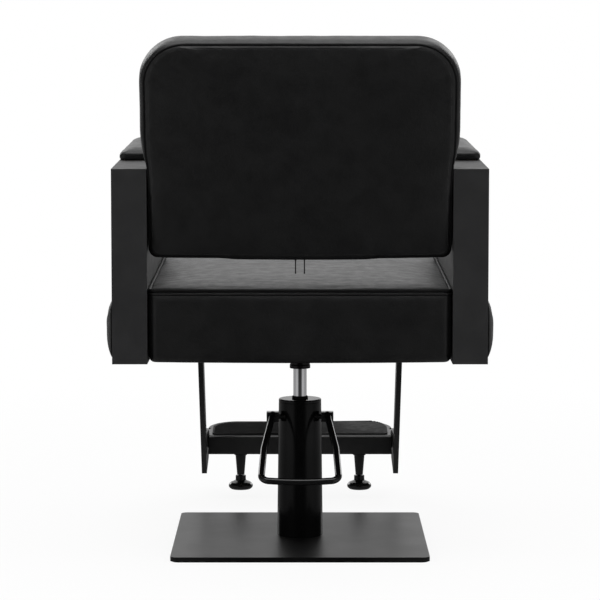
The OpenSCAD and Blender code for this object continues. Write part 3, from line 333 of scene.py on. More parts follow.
bare_steel = finish("bare_steel", (0.42, 0.42, 0.43), (0.55, 0.55, 0.56), (0.25, 0.38),
                    [("cloud", 0.0006, 0.00002, 2)], patch=0.01, stretch=(1, 1, 0.2), Metallic=1.0)
cast_metal = finish("sand_cast_metal", (0.16, 0.16, 0.165), (0.26, 0.26, 0.265), (0.5, 0.7),
                    [("cloud", 0.0015, 0.0002, 3)], Metallic=0.8)
bronze = finish("oiled_bronze", (0.05, 0.033, 0.014), (0.09, 0.06, 0.028), (0.4, 0.55),
                [("pebble", 0.0004, 0.00002, 0)], patch=0.006, Metallic=1.0)
dress(bare_steel, "pump_flange", "pump_barrel", "oil_reservoir", "pump_plunger", "plunger_spring",
      "piston_head", "thrust_race", "pedal_cam")
dress(cast_metal, "pump_head")
dress(bronze, "shaft_bushes", "rod_guide")

# Column cover and cap
# A slightly tapered steel tube over the pump and a pressed lid on it, both in
# gloss black enamel. The lid drops into the tube's mouth, with a rolled edge.

PLATE_TOP_Z, COVER_TOP_Z = 0.0095, 0.2515
COVER_TOP_R, COVER_FOOT_R, COVER_WALL = 0.0383, 0.0413, 0.002
CAP_TOP_Z, CAP_BORE_R, COLUMN_STEPS = 0.2575, 0.01325, 160


def rounded(points, radii, steps, closed):
    """The corners of a line, each replaced by a small arc."""
    made = []
    count = len(points)
    for k, p in enumerate(points):
        q, a, b = Vector(p), Vector(points[k - 1]), Vector(points[(k + 1) % count])
        to_a, to_b = a - q, b - q
        reach = min(radii[k], to_a.length * 0.45, to_b.length * 0.45)
        if reach < 1e-6 or (not closed and k in (0, count - 1)):
            made.append(tuple(p))
            continue
        start, end = q + to_a.normalized() * reach, q + to_b.normalized() * reach
        for i in range(steps + 1):
            t = i / steps
            made.append(tuple(start * (1 - t) ** 2 + q * 2 * t * (1 - t) + end * t ** 2))
    return made


def turned(name, points, radii, at=(0, 0), steps=96, closed=True, arc=4):
    """A lathe-turned shape: points are (radius, height), each rounded by its own radius."""
    verts, faces, rows = [], [], []
    for r, z in rounded(points, radii, arc, closed):
        if r < 1e-7:
            rows.append([len(verts)])
            verts.append((at[0], at[1], z))
            continue
        rows.append(list(range(len(verts), len(verts) + steps)))
        for i in range(steps):
            a = 2 * pi * i / steps
            verts.append((at[0] + r * cos(a), at[1] + r * sin(a), z))
    pairs = list(zip(rows, rows[1:])) + ([(rows[-1], rows[0])] if closed else [])
    for low, high in pairs:
        for i in range(steps):
            j = (i + 1) % steps
            if len(low) == 1:
                faces.append((low[0], high[j], high[i]))
            elif len(high) == 1:
                faces.append((low[i], low[j], high[0]))
            else:
                faces.append((low[i], low[j], high[j], high[i]))
    return solid(name, verts, faces)


def closed_up(piece, angle):
    """Joins a piece's double points, turns its faces outwards and shades it."""
    work = bmesh.new()
    work.from_mesh(piece.data)
    bmesh.ops.remove_doubles(work, verts=work.verts, dist=1e-7)
    bmesh.ops.recalc_face_normals(work, faces=work.faces)
    work.to_mesh(piece.data)
    work.free()
    shade(piece.data, angle)
    return piece


def solid(name, verts, faces, angle=35):
    """A closed mesh piece from points and faces."""
    mesh = bpy.data.meshes.new(name)
    mesh.from_pydata(verts, [], faces)
    return closed_up(linked(name, mesh), angle)


gloss_coat = finish(
    "gloss_black_enamel", (0.0012, 0.0012, 0.0013), (0.0018, 0.0018, 0.0019), (0.14, 0.2),
    [("cloud", 0.0025, 0.00004, 2)], patch=0.05, Specular_IOR_Level=0.25)
settle(turned("column_tube", [
    (COVER_FOOT_R - COVER_WALL, PLATE_TOP_Z), (COVER_FOOT_R, PLATE_TOP_Z),
    (COVER_TOP_R, COVER_TOP_Z), (COVER_TOP_R - COVER_WALL, COVER_TOP_Z)],
    [0.0002, 0.0006, 0.0004, 0.0002], steps=COLUMN_STEPS), "base", gloss_coat, "gloss_paint", "column_cover")
settle(turned("column_lid", [
    (CAP_BORE_R, COVER_TOP_Z), (COVER_TOP_R, COVER_TOP_Z), (COVER_TOP_R, CAP_TOP_Z), (CAP_BORE_R, CAP_TOP_Z)],
    [0.0003, 0.0004, 0.0022, 0.0006], steps=COLUMN_STEPS), "base", gloss_coat, "gloss_paint", "column_cap")

# Rod wiper
# A moulded black rubber collar with a raised lip. It is pressed into the lid and
# wipes the rod as it slides.

WIPER_R, WIPER_NECK_R, WIPER_LIP, WIPER_TOP_Z = 0.0144, 0.0132, 0.0009, 0.2625
ROD_R, BORE_R = 0.012, 0.01205
settle(turned("wiper_collar", [
    (BORE_R, COVER_TOP_Z), (WIPER_NECK_R, COVER_TOP_Z), (WIPER_NECK_R, CAP_TOP_Z), (WIPER_R, CAP_TOP_Z),
    (WIPER_R, CAP_TOP_Z + 0.0034), (WIPER_R - WIPER_LIP, CAP_TOP_Z + 0.0038),
    (WIPER_R - WIPER_LIP, WIPER_TOP_Z - 0.0003), (BORE_R, WIPER_TOP_Z)], [0.0004] * 8),
    "base", rubber, "black_rubber", "rod_wiper")

# Lift rod
# Ground steel bar with hard chrome, bright and smooth, with a small chamfer
# where it enters the seat's hub.

chrome = finish("hard_chrome", (0.86, 0.86, 0.88), (0.93, 0.93, 0.95), (0.1, 0.14),
                [("cloud", 0.0005, 0.000004, 2)], patch=0.012, stretch=(1, 1, 0.08), Metallic=1.0)
rod_low, rod_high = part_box("piston_rod")
settle(turned("lift_rod", [
    (0, rod_low[2]), (ROD_R, rod_low[2]), (ROD_R, rod_high[2]), (0, rod_high[2])], [0.001] * 4,
    closed=False), "lift", chrome, "chrome_rod", "piston_rod")

# Swivel hub
# A turned steel boss welded to the seat plate, in gloss black, with a beaded
# lower rim.

HUB_R, HUB_NECK_R, HUB_Z, HUB_TOP_Z = 0.0186, 0.0178, 0.3125, 0.3455
settle(turned("hub_boss", [
    (BORE_R, HUB_Z), (HUB_R, HUB_Z), (HUB_R, HUB_Z + 0.006), (HUB_NECK_R, HUB_Z + 0.007),
    (HUB_NECK_R, HUB_TOP_Z - 0.004), (HUB_R + 0.0024, HUB_TOP_Z), (BORE_R, HUB_TOP_Z)],
    [0.0004, 0.001, 0.0005, 0.0005, 0.002, 0.0003, 0.0003]), "seat", gloss_coat, "gloss_paint", "swivel_hub")

# Seat plate
# A square steel plate in gloss black that carries the seat, held up to the
# seat's base board by four hexagon bolts.

settle(eased("seat_plate", "seat_carrier", 0.0008), "seat", gloss_coat, "gloss_paint", "seat_plate")
dress(zinc, "seat_plate_bolts")

# Pedal
# One round steel bar bent to a loop, its ends welded into two square blocks on
# the pump's shaft, all in gloss black enamel.

SHAFT = Vector((0, 0.024, 0.2275))
HUB_HALF, PEDAL_BAR_R, WELD = 0.009, 0.0059, 0.0015
PEDAL_SLOPE = tan(radians(27))
pedal_start = Vector((0.0485, SHAFT.y + HUB_HALF - WELD, SHAFT.z + 0.0046 + WELD * PEDAL_SLOPE))


def pedal_point(x, reach):
    return Vector((x, SHAFT.y + reach, pedal_start.z - (SHAFT.y + reach - pedal_start.y) * PEDAL_SLOPE))


def bend(p, q, s, r, n):
    """Points of a round bend at q, between p and s."""
    u, w = (p - q).normalized(), (s - q).normalized()
    half = u.angle(w) / 2
    c = q + (u + w).normalized() * r / sin(half)
    a, b = q + u * r / tan(half) - c, q + w * r / tan(half) - c
    turn = pi - 2 * half
    return [c + (a * sin(turn * (1 - i / n)) + b * sin(turn * i / n)) / sin(turn)
            for i in range(n + 1)]


def line_piece(name, path, closed=False):
    """A line of points, the start of a Geometry Nodes shape."""
    mesh = bpy.data.meshes.new(name)
    count = len(path)
    edges = [(i, (i + 1) % count) for i in range(count if closed else count - 1)]
    mesh.from_pydata([tuple(p) for p in path], edges, [])
    return linked(name, mesh)


def new_tree(name, **inputs):
    """A Geometry Nodes tree with a geometry input, named inputs and a geometry output."""
    tree = bpy.data.node_groups.new(name, "GeometryNodeTree")
    tree.interface.new_socket("Geometry", in_out="INPUT", socket_type="NodeSocketGeometry")
    for key, kind in inputs.items():
        tree.interface.new_socket(key.replace("_", " "), in_out="INPUT", socket_type="NodeSocket" + kind)
    tree.interface.new_socket("Geometry", in_out="OUTPUT", socket_type="NodeSocketGeometry")
    return tree, node(tree, "NodeGroupInput"), node(tree, "NodeGroupOutput")


def grow(piece, tree, **values):
    """Runs a Geometry Nodes tree on a piece and keeps the mesh that it makes."""
    modifier = piece.modifiers.new(tree.name, "NODES")
    modifier.node_group = tree
    sockets = {s.name: s.identifier for s in tree.interface.items_tree
               if s.item_type == "SOCKET" and s.in_out == "INPUT"}
    for key, value in values.items():
        modifier[sockets[key.replace("_", " ")]] = value
    return plain_mesh(piece)


def chain(tree, *nodes):
    """Wires the first output of each node to the next one; a word makes a new node."""
    nodes = [node(tree, "GeometryNode" + n) if isinstance(n, str) else n for n in nodes]
    wire(*((a.outputs[0], b.inputs[0]) for a, b in zip(nodes, nodes[1:])))


bar_tree, bar_in, bar_out = new_tree("round_bar_on_a_line", Radius="Float", Sides="Int")
bar_ring = node(bar_tree, "GeometryNodeCurvePrimitiveCircle")
bar_skin = node(bar_tree, "GeometryNodeCurveToMesh")
bar_skin.inputs["Fill Caps"].default_value = True
chain(bar_tree, bar_in, "MeshToCurve", bar_skin, "SetShadeSmooth", bar_out)
wire((bar_in.outputs["Radius"], bar_ring.inputs["Radius"]),
     (bar_in.outputs["Sides"], bar_ring.inputs["Resolution"]),
     (bar_ring.outputs[0], bar_skin.inputs["Profile Curve"]))


def bar(name, path, radius, sides=14, closed=True):
    """A round bar or cord along a line."""
    return closed_up(grow(line_piece(name, path, closed), bar_tree, Radius=radius, Sides=sides), 50)


pedal_coat = finish(
    "pedal_black_enamel", (0.003, 0.003, 0.0031), (0.004, 0.004, 0.0041), (0.1, 0.16),
    [("cloud", 0.003, 0.00003, 2)], patch=0.06, Specular_IOR_Level=0.7)
TREAD_REACH, TREAD_BOW = 0.1878, 0.0027
bend_at, end_at = pedal_point(0.0635, 0.104), pedal_point(0.0675, TREAD_REACH)
far_end = Vector((-end_at.x, end_at.y, end_at.z))
half_loop = ([pedal_start] + bend(pedal_start, bend_at, end_at, 0.06, 10)
             + bend(bend_at, end_at, far_end, 0.015, 16))
tread_half = half_loop[-1].x
half_loop += [pedal_point(tread_half * k / 7, TREAD_REACH + TREAD_BOW * (1 - (k / 7) ** 2))
              for k in range(6, 0, -1)]
loop = half_loop + [pedal_point(0, TREAD_REACH + TREAD_BOW)] + [
    Vector((-p.x, p.y, p.z)) for p in reversed(half_loop)]
settle(bar("pedal_bar", loop, PEDAL_BAR_R, sides=40, closed=False), "pedal", pedal_coat, "gloss_paint",
       "pedal_loop")
settle(eased("pedal_hubs", "pedal_blocks", 0.0009), "pedal", pedal_coat, "gloss_paint", "pedal_hubs")
dress(pedal_coat, "pedal_shaft")

# Seat box
# Birch rails and boards, glued and stapled, with T-nuts for the arm and plate
# bolts. Foam and cover hide it, except the base board, stained black underneath.

birch = finish("birch_ply", (0.5, 0.36, 0.2), (0.66, 0.5, 0.31), (0.5, 0.68),
               [("cloud", 0.002, 0.00015, 4)], patch=0.01, stretch=(0.15, 1, 1.5))
dress(birch, "seat_frame", "seat_top_board", "side_pad_boards", "armrest_boards", "backrest_frame")
stained = finish("black_stained_ply", 0.006, 0.011, (0.6, 0.75),
                 [("cloud", 0.002, 0.00015, 4)], patch=0.01, stretch=(0.15, 1, 1.5), Specular_IOR_Level=0.3)
dress(stained, "seat_base_board")
dress(zinc, "arm_bolts", "armrest_screws", "backrest_bolts", "footrest_bolts")

# Seat cushion
# Foam over the wooden box in black artificial leather: a crowned top panel, a
# border round the sides, and a piped seam where they meet.

SEAT_W, SEAT_H = 0.519, 0.1225
SEAT_Z, SEAT_REAR_Y, SEAT_FRONT_Y = 0.3505, 0.255, -0.285
SEAT_RISE, SEAT_R, SWELL_FRAMES = 0.0003, 0.011, 20
RAKE_ANGLE = radians(1.8)
RAKE = tan(RAKE_ANGLE)

leather = finish(
    "black_leather", (0.0042, 0.0042, 0.0044), (0.0062, 0.0062, 0.0064), (0.4, 0.5),
    [("cloud", 0.05, 0.001, 3), ("cloud", 0.006, 0.0003, 3), ("pebble", 0.0013, 0.00012, 0)],
    patch=0.045, Specular_IOR_Level=0.5)


def outline(x0, x1, y0, y1, r_low, r_high, corner=8, side=20):
    """A rounded rectangle, counter-clockwise, with its own radii at low and high y."""
    most = min(x1 - x0, y1 - y0) / 2 * 0.9
    p, q = min(r_low, most), min(r_high, most)
    arcs = []
    for cx, cy, r, start in ((x0 + p, y0 + p, p, 180), (x1 - p, y0 + p, p, 270),
                             (x1 - q, y1 - q, q, 0), (x0 + q, y1 - q, q, 90)):
        arcs.append([(cx + r * cos(radians(start + 90 * i / corner)),
                      cy + r * sin(radians(start + 90 * i / corner))) for i in range(corner + 1)])
    points = []
    for k, arc in enumerate(arcs):
        a, b = arc[-1], arcs[(k + 1) % 4][0]
        points += arc + [(a[0] + (b[0] - a[0]) * i / side, a[1] + (b[1] - a[1]) * i / side)
                         for i in range(1, side)]
    return points


def ring_faces(n, m):
    """The faces between m rings of n points each."""
    return [(j * n + i, j * n + (i + 1) % n, (j + 1) * n + (i + 1) % n, (j + 1) * n + i)
            for j in range(m - 1) for i in range(n)]


def stacked(name, rings):
    """A closed shape through rings of points that lie over each other."""
    n, m = len(rings[0]), len(rings)
    verts = [p for ring in rings for p in ring]
    verts += [tuple(np.mean(rings[0], axis=0)), tuple(np.mean(rings[-1], axis=0))]
    faces = ring_faces(n, m) + [((i + 1) % n, i, n * m) for i in range(n)]
    faces += [((m - 1) * n + i, (m - 1) * n + (i + 1) % n, n * m + 1) for i in range(n)]
    return solid(name, verts, faces, 180)


def points_of(mesh, kind="co"):
    """The points of a mesh, or their normals."""
    values = np.empty(len(mesh.vertices) * 3)
    mesh.vertices.foreach_get(kind, values)
    return values.reshape(-1, 3)


def set_points(mesh, co):
    mesh.vertices.foreach_set("co", np.asarray(co, np.float32).ravel())
    mesh.update()


def puff(piece, voxel, cap, held):
    """Remeshes a padded shape and swells its cover with air pressure, no point by more
    than the cap. Points where held() is true stay, as at a seam or over a board. One
    subdivision follows."""
    remesh = piece.modifiers.new("remesh", "REMESH")
    remesh.mode = "VOXEL"
    remesh.voxel_size = voxel
    plain_mesh(piece)
    rest = points_of(piece.data)
    pins = piece.vertex_groups.new(name="held")
    pins.add([i for i, p in enumerate(rest) if held(p)], 1.0, "REPLACE")
    cloth = piece.modifiers.new("cover", "CLOTH")
    cover = cloth.settings
    cover.quality = 4
    cover.mass = 0.25
    cover.tension_stiffness = cover.compression_stiffness = 12
    cover.shear_stiffness = 5
    cover.bending_stiffness = 0.4
    cover.use_pressure = True
    cover.uniform_pressure_force = 2.0
    cover.effector_weights.gravity = 0
    cover.vertex_group_mass = "held"
    contact = cloth.collision_settings
    contact.use_collision = contact.use_self_collision = False
    cloth.point_cache.frame_start, cloth.point_cache.frame_end = 1, SWELL_FRAMES
    for step in range(1, SWELL_FRAMES + 1):
        scene.frame_set(step)
    swollen = piece.evaluated_get(bpy.context.evaluated_depsgraph_get())
    moved = points_of(swollen.data) - rest
    piece.modifiers.clear()
    piece.vertex_groups.clear()
    length = np.linalg.norm(moved, axis=1, keepdims=True)
    share = cap * (1 - np.exp(-length / cap)) / np.maximum(length, 1e-9)
    set_points(piece.data, rest + moved * share)
    scene.frame_set(1)
    finer = piece.modifiers.new("finer", "SUBSURF")
    finer.levels = finer.render_levels = 1
    plain_mesh(piece).data.shade_smooth()
    return piece


def along(path, closed=True):
    """A search tree over a line, and how far along it each of its points lies."""
    points, lengths, total = [], [], 0.0
    count = len(path)
    for i in range(count if closed else count - 1):
        a, b = Vector(path[i]), Vector(path[(i + 1) % count])
        n = max(1, int((b - a).length / 0.002))
        for k in range(n):
            points.append(a.lerp(b, k / n))
            lengths.append(total + (b - a).length * k / n)
        total += (b - a).length
    tree = KDTree(len(points))
    for i, p in enumerate(points):
        tree.insert(p, i)
    tree.balance()
    return tree, lengths


def draw_in(piece, path, depth, width, pucker=0.0, closed=True, way=None):
    """Draws a cover in along a seam, inwards or the given way, with small puckers beside it."""
    tree, lengths = along(path, closed)
    co = points_of(piece.data)
    reach = max(width, 0.022 if pucker else 0)
    inward = -points_of(piece.data, "normal") if way is None else np.tile(way, (len(co), 1))
    for i, p in enumerate(co):
        _, k, far = tree.find(p)
        if far < reach:
            shift = depth * max(0.0, 1 - far / width) ** 2
            if pucker:
                wave = noise.noise(Vector((lengths[k] / 0.011, p[2] * 40, 3.1)))
                shift += pucker * wave * sin(pi * min(1, far / reach)) ** 0.7
            co[i] += inward[i] * shift
    set_points(piece.data, co)


def soften(piece, height, width, keep=None, stretch=(1, 1, 1)):
    """Gives a cover the slow hollows and rises of foam under it."""
    co, normals = points_of(piece.data), points_of(piece.data, "normal")
    for i, p in enumerate(co):
        q = Vector((p[0] * stretch[0], p[1] * stretch[1], p[2] * stretch[2])) / width
        share = 1 if keep is None else keep(p)
        co[i] += normals[i] * height * share * (noise.noise(q) + 0.4 * noise.noise(q * 2.7))
    set_points(piece.data, co)


def seat_ring(inset, z, r=SEAT_R, **steps):
    lift = max(0.0, (z - SEAT_RISE) / (SEAT_H - SEAT_RISE)) * RAKE
    return [(x, y, SEAT_Z + z + lift * (SEAT_REAR_Y - y)) for x, y in outline(
        -SEAT_W / 2 + inset, SEAT_W / 2 - inset, SEAT_FRONT_Y + inset, SEAT_REAR_Y - inset, r, r, **steps)]


def crown(f):
    return 1 - (1 - f) ** 2.6


SEAT_FOOT_IN, SEAT_SHOULDER, SEAT_DOME = 0.003, 0.004, 0.009
SEAM_IN, SEAT_REACH = 0.001, 0.221
seam_top = seat_ring(SEAM_IN, SEAT_H + SEAT_SHOULDER * 0.7)
seat_rings = [seat_ring(SEAT_FOOT_IN, SEAT_RISE)]
for share, swell in ((0.05, 0.5), (0.15, 0.1), (0.45, 0), (0.85, 0), (0.96, 0.2)):
    seat_rings.append(seat_ring(SEAT_FOOT_IN * swell, SEAT_H * share))
seat_rings.append(seam_top)
for f in (0.02, 0.05, 0.1, 0.17, 0.26, 0.38, 0.52, 0.7, 0.85, 1):
    inset = SEAM_IN + (SEAT_REACH - SEAM_IN) * f
    height = SEAT_H + SEAT_SHOULDER + SEAT_DOME * crown(f)
    seat_rings.append(seat_ring(inset, height, max(SEAT_R, inset / 3)))


def seat_local_z(p):
    return p[2] - SEAT_Z - max(0, SEAT_REAR_Y - p[1]) * RAKE * (p[2] - SEAT_Z) / SEAT_H


def seat_held(p):
    """True at the seat's seams, along its sides by the arms, and underneath."""
    z = seat_local_z(p)
    on_top = z > SEAT_H + SEAT_SHOULDER
    on_end = 0.01 < z < SEAT_H - 0.01 and abs(p[0]) < SEAT_W / 2 - 0.012 and (
        p[1] > SEAT_REAR_Y - 0.003 or p[1] < SEAT_FRONT_Y + 0.003)
    return not (on_top or on_end)


seat = puff(stacked("seat_cover", seat_rings), 0.006, 0.004, seat_held)
soften(seat, 0.0006, 0.035, stretch=(0.5, 1.6, 1),
       keep=lambda p: 1.0 if p[2] > SEAT_Z + SEAT_H - 0.002 else 0.35)
draw_in(seat, seam_top, 0.003, 0.0075, pucker=0.0003, way=(0, 0, -1))
PANEL_ROUND, PANEL_ROUND_W, REAR_SAG = 0.006, 0.017, 0.0024
co = points_of(seat.data)
for p in co:
    z = seat_local_z(p)
    from_rear, from_front = SEAT_REAR_Y - p[1], p[1] - SEAT_FRONT_Y
    edge = max(0.0, min(SEAT_W / 2 - abs(p[0]), z, SEAT_H - z))
    share = max(0.0, 1 - min(from_rear, from_front) / 0.03) * max(0.0, 1 - edge / PANEL_ROUND_W) ** 2
    p[1] -= copysign(PANEL_ROUND, from_front - from_rear) * share
    hang = max(0.0, 1 - from_rear / 0.04) * max(0.0, 1 - z / 0.04)
    p[2] -= REAR_SAG * hang * (1 - (2 * p[0] / SEAT_W) ** 2)
set_points(seat.data, co)
for sign in (-1, 1):
    corner_x, corner_y = sign * (SEAT_W / 2 - 0.006), SEAT_REAR_Y - 0.006
    draw_in(seat, [(corner_x, corner_y, SEAT_Z + 0.004), (corner_x, corner_y, SEAT_Z + SEAT_H - 0.004)],
            0.0015, 0.005, closed=False)
settle(seat, "seat", leather, "leather_black", "seat_cushion")

# Seat piping
# A cord wrapped in a strip of the cover's leather and sewn into the top seam. The
# top panel's edge is folded over above it, in a darker leather whose colour is painted seam shade.

strip_grain = [("cloud", 0.004, 0.0002, 3), ("pebble", 0.0011, 0.00008, 0)]
piping = finish(
    "piping_leather", (0.0045, 0.0045, 0.0047), (0.0065, 0.0065, 0.0067), (0.3, 0.38),
    strip_grain, patch=0.03, Specular_IOR_Level=0.5)


def on_cover(piece, path, sink):
    """Moves a line onto a cover, sunk a little into its surface."""
    mesh = piece.data
    tree = BVHTree.FromPolygons([v.co for v in mesh.vertices], [tuple(f.vertices) for f in mesh.polygons])
    made = []
    for p in path:
        near, normal, _, _ = tree.find_nearest(Vector(p))
        made.append(near - normal * sink)
    return [(made[i - 1] + made[i] * 2 + made[(i + 1) % len(made)]) / 4 for i in range(len(made))]


def seat_line(inset, z):
    """A fine line round the seat for its seam."""
    return seat_ring(inset, z, corner=10, side=60)


settle(bar("seat_piping", on_cover(seat, seat_line(0.0008, SEAT_H - 0.0034), -0.0009), 0.0019),
       "seat", piping, "piping_black", "seat_welt")
# A darker, duller copy of the cover leather: its darker colour is painted shade for the seams.
shade_painted_leather = finish(
    "folded_leather_with_painted_shade", (0.003, 0.003, 0.0031), (0.0045, 0.0045, 0.0047), (0.5, 0.6),
    strip_grain, patch=0.03, Specular_IOR_Level=0.12)
settle(bar("seat_seam_fold", seat_line(0.0024, SEAT_H + 0.0014), 0.0027), "seat", shade_painted_leather,
       "piping_black")

# Box arms
# Bent and welded sheet steel boxes in matte dark grey powder coat, with broken
# edges. Bolts through them hold the seat and the backrest between them.

matte_coat = finish(
    "matte_grey_coat", (0.0135, 0.0135, 0.014), (0.017, 0.017, 0.0175), (0.5, 0.6),
    [("cloud", 0.0011, 0.00007, 2)], patch=0.05, Specular_IOR_Level=0.45)
for side, _ in SIDES:
    settle(eased("arm_shell_" + side, "arm_box_" + side, 0.0014), "seat", matte_coat, "arm_paint",
           "arm_shell_" + side)
dress(matte_coat, "arm_floors")

# Side pads
# A long padded panel on the outside of each arm: foam on a thin board, covered
# in the seat's leather, crowned and held over the arm bolts.

ARM_OUT_X = 0.32
PAD_Z0, PAD_H, PAD_MID_Y, PAD_LEN = 0.353, 0.104, -0.02, 0.52
PAD_EDGE, PAD_DOME, PAD_REACH = 0.0018, 0.0135, 0.0489


def side_ring(sign, inset, x, bow):
    half, r = PAD_LEN / 2, PAD_H / 4
    return [(sign * (ARM_OUT_X + x - bow * (abs(y - PAD_MID_Y) / half) ** 4), y, z) for y, z in outline(
        PAD_MID_Y - half + inset, PAD_MID_Y + half - inset, PAD_Z0 + inset, PAD_Z0 + PAD_H - inset,
        max(r - inset, 0.001), max(r - inset, 0.001), side=30)]


for side, sign in SIDES:
    rings = [side_ring(sign, 0, 0.0003, 0)]
    rings += [side_ring(sign, PAD_REACH * f, PAD_EDGE + PAD_DOME * (1 - (1 - f) ** 2), 0.005 * f)
              for f in (0, 0.06, 0.14, 0.24, 0.36, 0.5, 0.66, 0.82, 0.96)]
    pad = puff(stacked("side_cover_" + side, rings), 0.0042, 0.002,
               lambda p: abs(p[0]) < ARM_OUT_X + 0.003)
    soften(pad, 0.0004, 0.03)
    settle(pad, "seat", leather, "leather_black", "side_pad_" + side)

# Armrest pads
# Foam on a board, wrapped in leather that is stapled underneath, round on top
# and screwed down to the front 355 mm of each arm.

ARM_REAR_Y, ARM_TOP_Z, ARM_MID_X = 0.26, 0.682, 0.29
REST_W, REST_LEN, REST_FRONT, REST_R = 0.06, 0.355, -0.56, 0.012
REST_EDGE_H, REST_DOME, REST_REACH = 0.013, 0.009, 0.0279


def tilted(y0, z0, angle):
    """A function for the places of points that are measured on a leaning plane."""
    def place(x, y, z):
        return (x, y0 + y * cos(angle) + z * sin(angle),
                z0 - y * sin(angle) + z * cos(angle))
    return place


on_arm = tilted(ARM_REAR_Y, ARM_TOP_Z, RAKE_ANGLE)


def rest_ring(sign, inset, z, r=REST_R):
    return [on_arm(x, y, z) for x, y in outline(
        sign * ARM_MID_X - REST_W / 2 + inset, sign * ARM_MID_X + REST_W / 2 - inset,
        REST_FRONT + inset, REST_FRONT + REST_LEN - inset, r, r, side=24)]


for side, sign in SIDES:
    rings = [rest_ring(sign, 0.002, 0.0003)]
    rings += [rest_ring(sign, k, REST_EDGE_H * f) for f, k in ((0.12, 0.0008), (0.3, 0), (0.7, 0))]
    for f in (0.03, 0.1, 0.2, 0.32, 0.46, 0.64, 0.82, 0.97):
        height = REST_EDGE_H + REST_DOME * (1 - (1 - f) ** 2.2)
        rings.append(rest_ring(sign, REST_REACH * f, height, max(REST_R, 0.014 * f)))
    pad = puff(stacked("armrest_cover_" + side, rings), 0.0034, 0.0015,
               lambda p: p[2] < ARM_TOP_Z + sin(RAKE_ANGLE) * (ARM_REAR_Y - p[1]) + 0.004)
    soften(pad, 0.0004, 0.02)
    settle(pad, "seat", leather, "leather_black", "armrest_pad_" + side)

# Backrest
# A foam block on a board, in the seat's leather: flat rear panel, crowned front
# panel and a border between them, which swells out above the arms. The lower
# rear edge hangs a little in the middle.

LEAN = radians(10)
BACK_Y, BACK_Z = 0.237, 0.532
BACK_W, BACK_H, BACK_T = 0.5184, 0.3655, 0.07
BACK_SWELL, BACK_BULGE, BACK_DOME = 0.0042, 0.0083, 0.009
BACK_RISE, BACK_DROP = 0.0064, 0.0029
BACK_HELD, BACK_WIDEN = 0.1535, 0.065
BACK_TOP_R, BACK_FOOT_R = 0.0675, 0.014
BACK_SAG, BACK_SAG_H, BACK_SAG_DEPTH = 0.0036, 0.06, 0.013
REAR_SHOULDER, REAR_DOME, FRONT_SHOULDER = 0.003, 0.002, 0.002
on_back = tilted(BACK_Y, BACK_Z, LEAN)


def back_sag(x, depth):
    """How far the cover's lower rear edge hangs, most in the middle."""
    return BACK_SAG * (1 - (2 * x / BACK_W) ** 2) * min(1.0, max(0.0, 1 - depth / BACK_SAG_DEPTH))


def back_ring(inset, depth, bulge, r_low, r_high, **steps):
    """The backrest's outline at a depth; bulge is 0 at the seams and 1 between them."""
    made = []
    drop = BACK_DROP * min(1.0, max(0.0, 1 - depth / 0.01))
    for x, z in outline(-BACK_W / 2 + inset, BACK_W / 2 - inset, inset - drop, BACK_H - inset,
                        r_low, r_high, **steps):
        f = sin(pi / 2 * min(max((z - BACK_HELD) / BACK_WIDEN, 0), 1)) ** 0.7
        z -= back_sag(x, depth) * max(0.0, 1 - max(z, 0) / BACK_SAG_H)
        made.append(on_back(x + (BACK_SWELL + BACK_BULGE * bulge) * f * x / (BACK_W / 2), -depth,
                            z + BACK_RISE * bulge * (z / BACK_H) ** 4))
    return made


PINCH, BACK_REACH = 0.0015, 0.1567
shares = (0.015, 0.04, 0.09, 0.16, 0.26, 0.4, 0.6, 0.8, 1)


def face_ring(f, depth):
    inset = PINCH + (BACK_REACH - PINCH) * f
    return back_ring(inset, depth, 0, max(BACK_FOOT_R, inset / 3), max(BACK_TOP_R - inset, inset / 3))


rings = [face_ring(f, -REAR_SHOULDER - REAR_DOME * crown(f)) for f in reversed(shares)]
rings.append(face_ring(0, 0))
for share, swell in ((0.04, 0.35), (0.1, 0.6), (0.25, 0.9), (0.5, 1), (0.75, 0.9), (0.9, 0.6), (0.96, 0.35)):
    rings.append(back_ring(PINCH * (1 - swell), BACK_T * share, swell, BACK_FOOT_R, BACK_TOP_R))
rings.append(face_ring(0, BACK_T))
rings += [face_ring(f, BACK_T + FRONT_SHOULDER + BACK_DOME * crown(f)) for f in shares]


def back_held(p):
    """True at the backrest's seams and over its border."""
    depth = (p[2] - BACK_Z) * sin(LEAN) - (p[1] - BACK_Y) * cos(LEAN)
    return -0.0008 < depth < BACK_T + 0.0008


back = puff(stacked("backrest_cover", rings), 0.0055, 0.004, back_held)
soften(back, 0.0007, 0.06)
forward = Vector((0, -cos(LEAN), sin(LEAN)))
for depth, way in ((0, forward), (BACK_T, -forward)):
    draw_in(back, face_ring(0, depth), 0.0028, 0.013, pucker=0.0004, way=way)
settle(back, "seat", leather, "leather_black", "backrest_cushion")

# Backrest piping
# A cord in a strip of dull folded leather lies in the seam round the rear panel
# and in the one round the front panel. The strip's darker colour is painted seam shade.


def back_line(inset, depth, bulge, less):
    """A fine line round the backrest for its seams."""
    return back_ring(inset, depth, bulge, BACK_FOOT_R, BACK_TOP_R - less, corner=16, side=50)


for name, depth in (("rear", 0.0022), ("front", BACK_T - 0.0022)):
    line = on_cover(back, back_line(0.0012, depth, 0.03, 0.001), -0.0003)
    settle(bar("backrest_piping_" + name, line, 0.0018), "seat", shade_painted_leather, "piping_black",
           "backrest_welt")

# Zip
# A black coil zip closes the cover underneath the backrest: woven tape, two
# rows of coil, and two sliders that meet in the middle.

webbing = finish("zip_tape_weave", 0.008, 0.016, (0.7, 0.85),
                 [("pebble", 0.0006, 0.0002, 0)], patch=0.004, Sheen_Weight=0.3)
zip_coil = finish("zip_coil_black", 0.008, 0.012, (0.3, 0.4),
                  [("cloud", 0.0005, 0.00002, 2)], patch=0.004)
zip_enamel = finish("zip_enamel_black", 0.01, 0.014, (0.25, 0.35),
                    [("cloud", 0.0006, 0.00003, 2)], patch=0.004)
dress(webbing, "zip_chain")

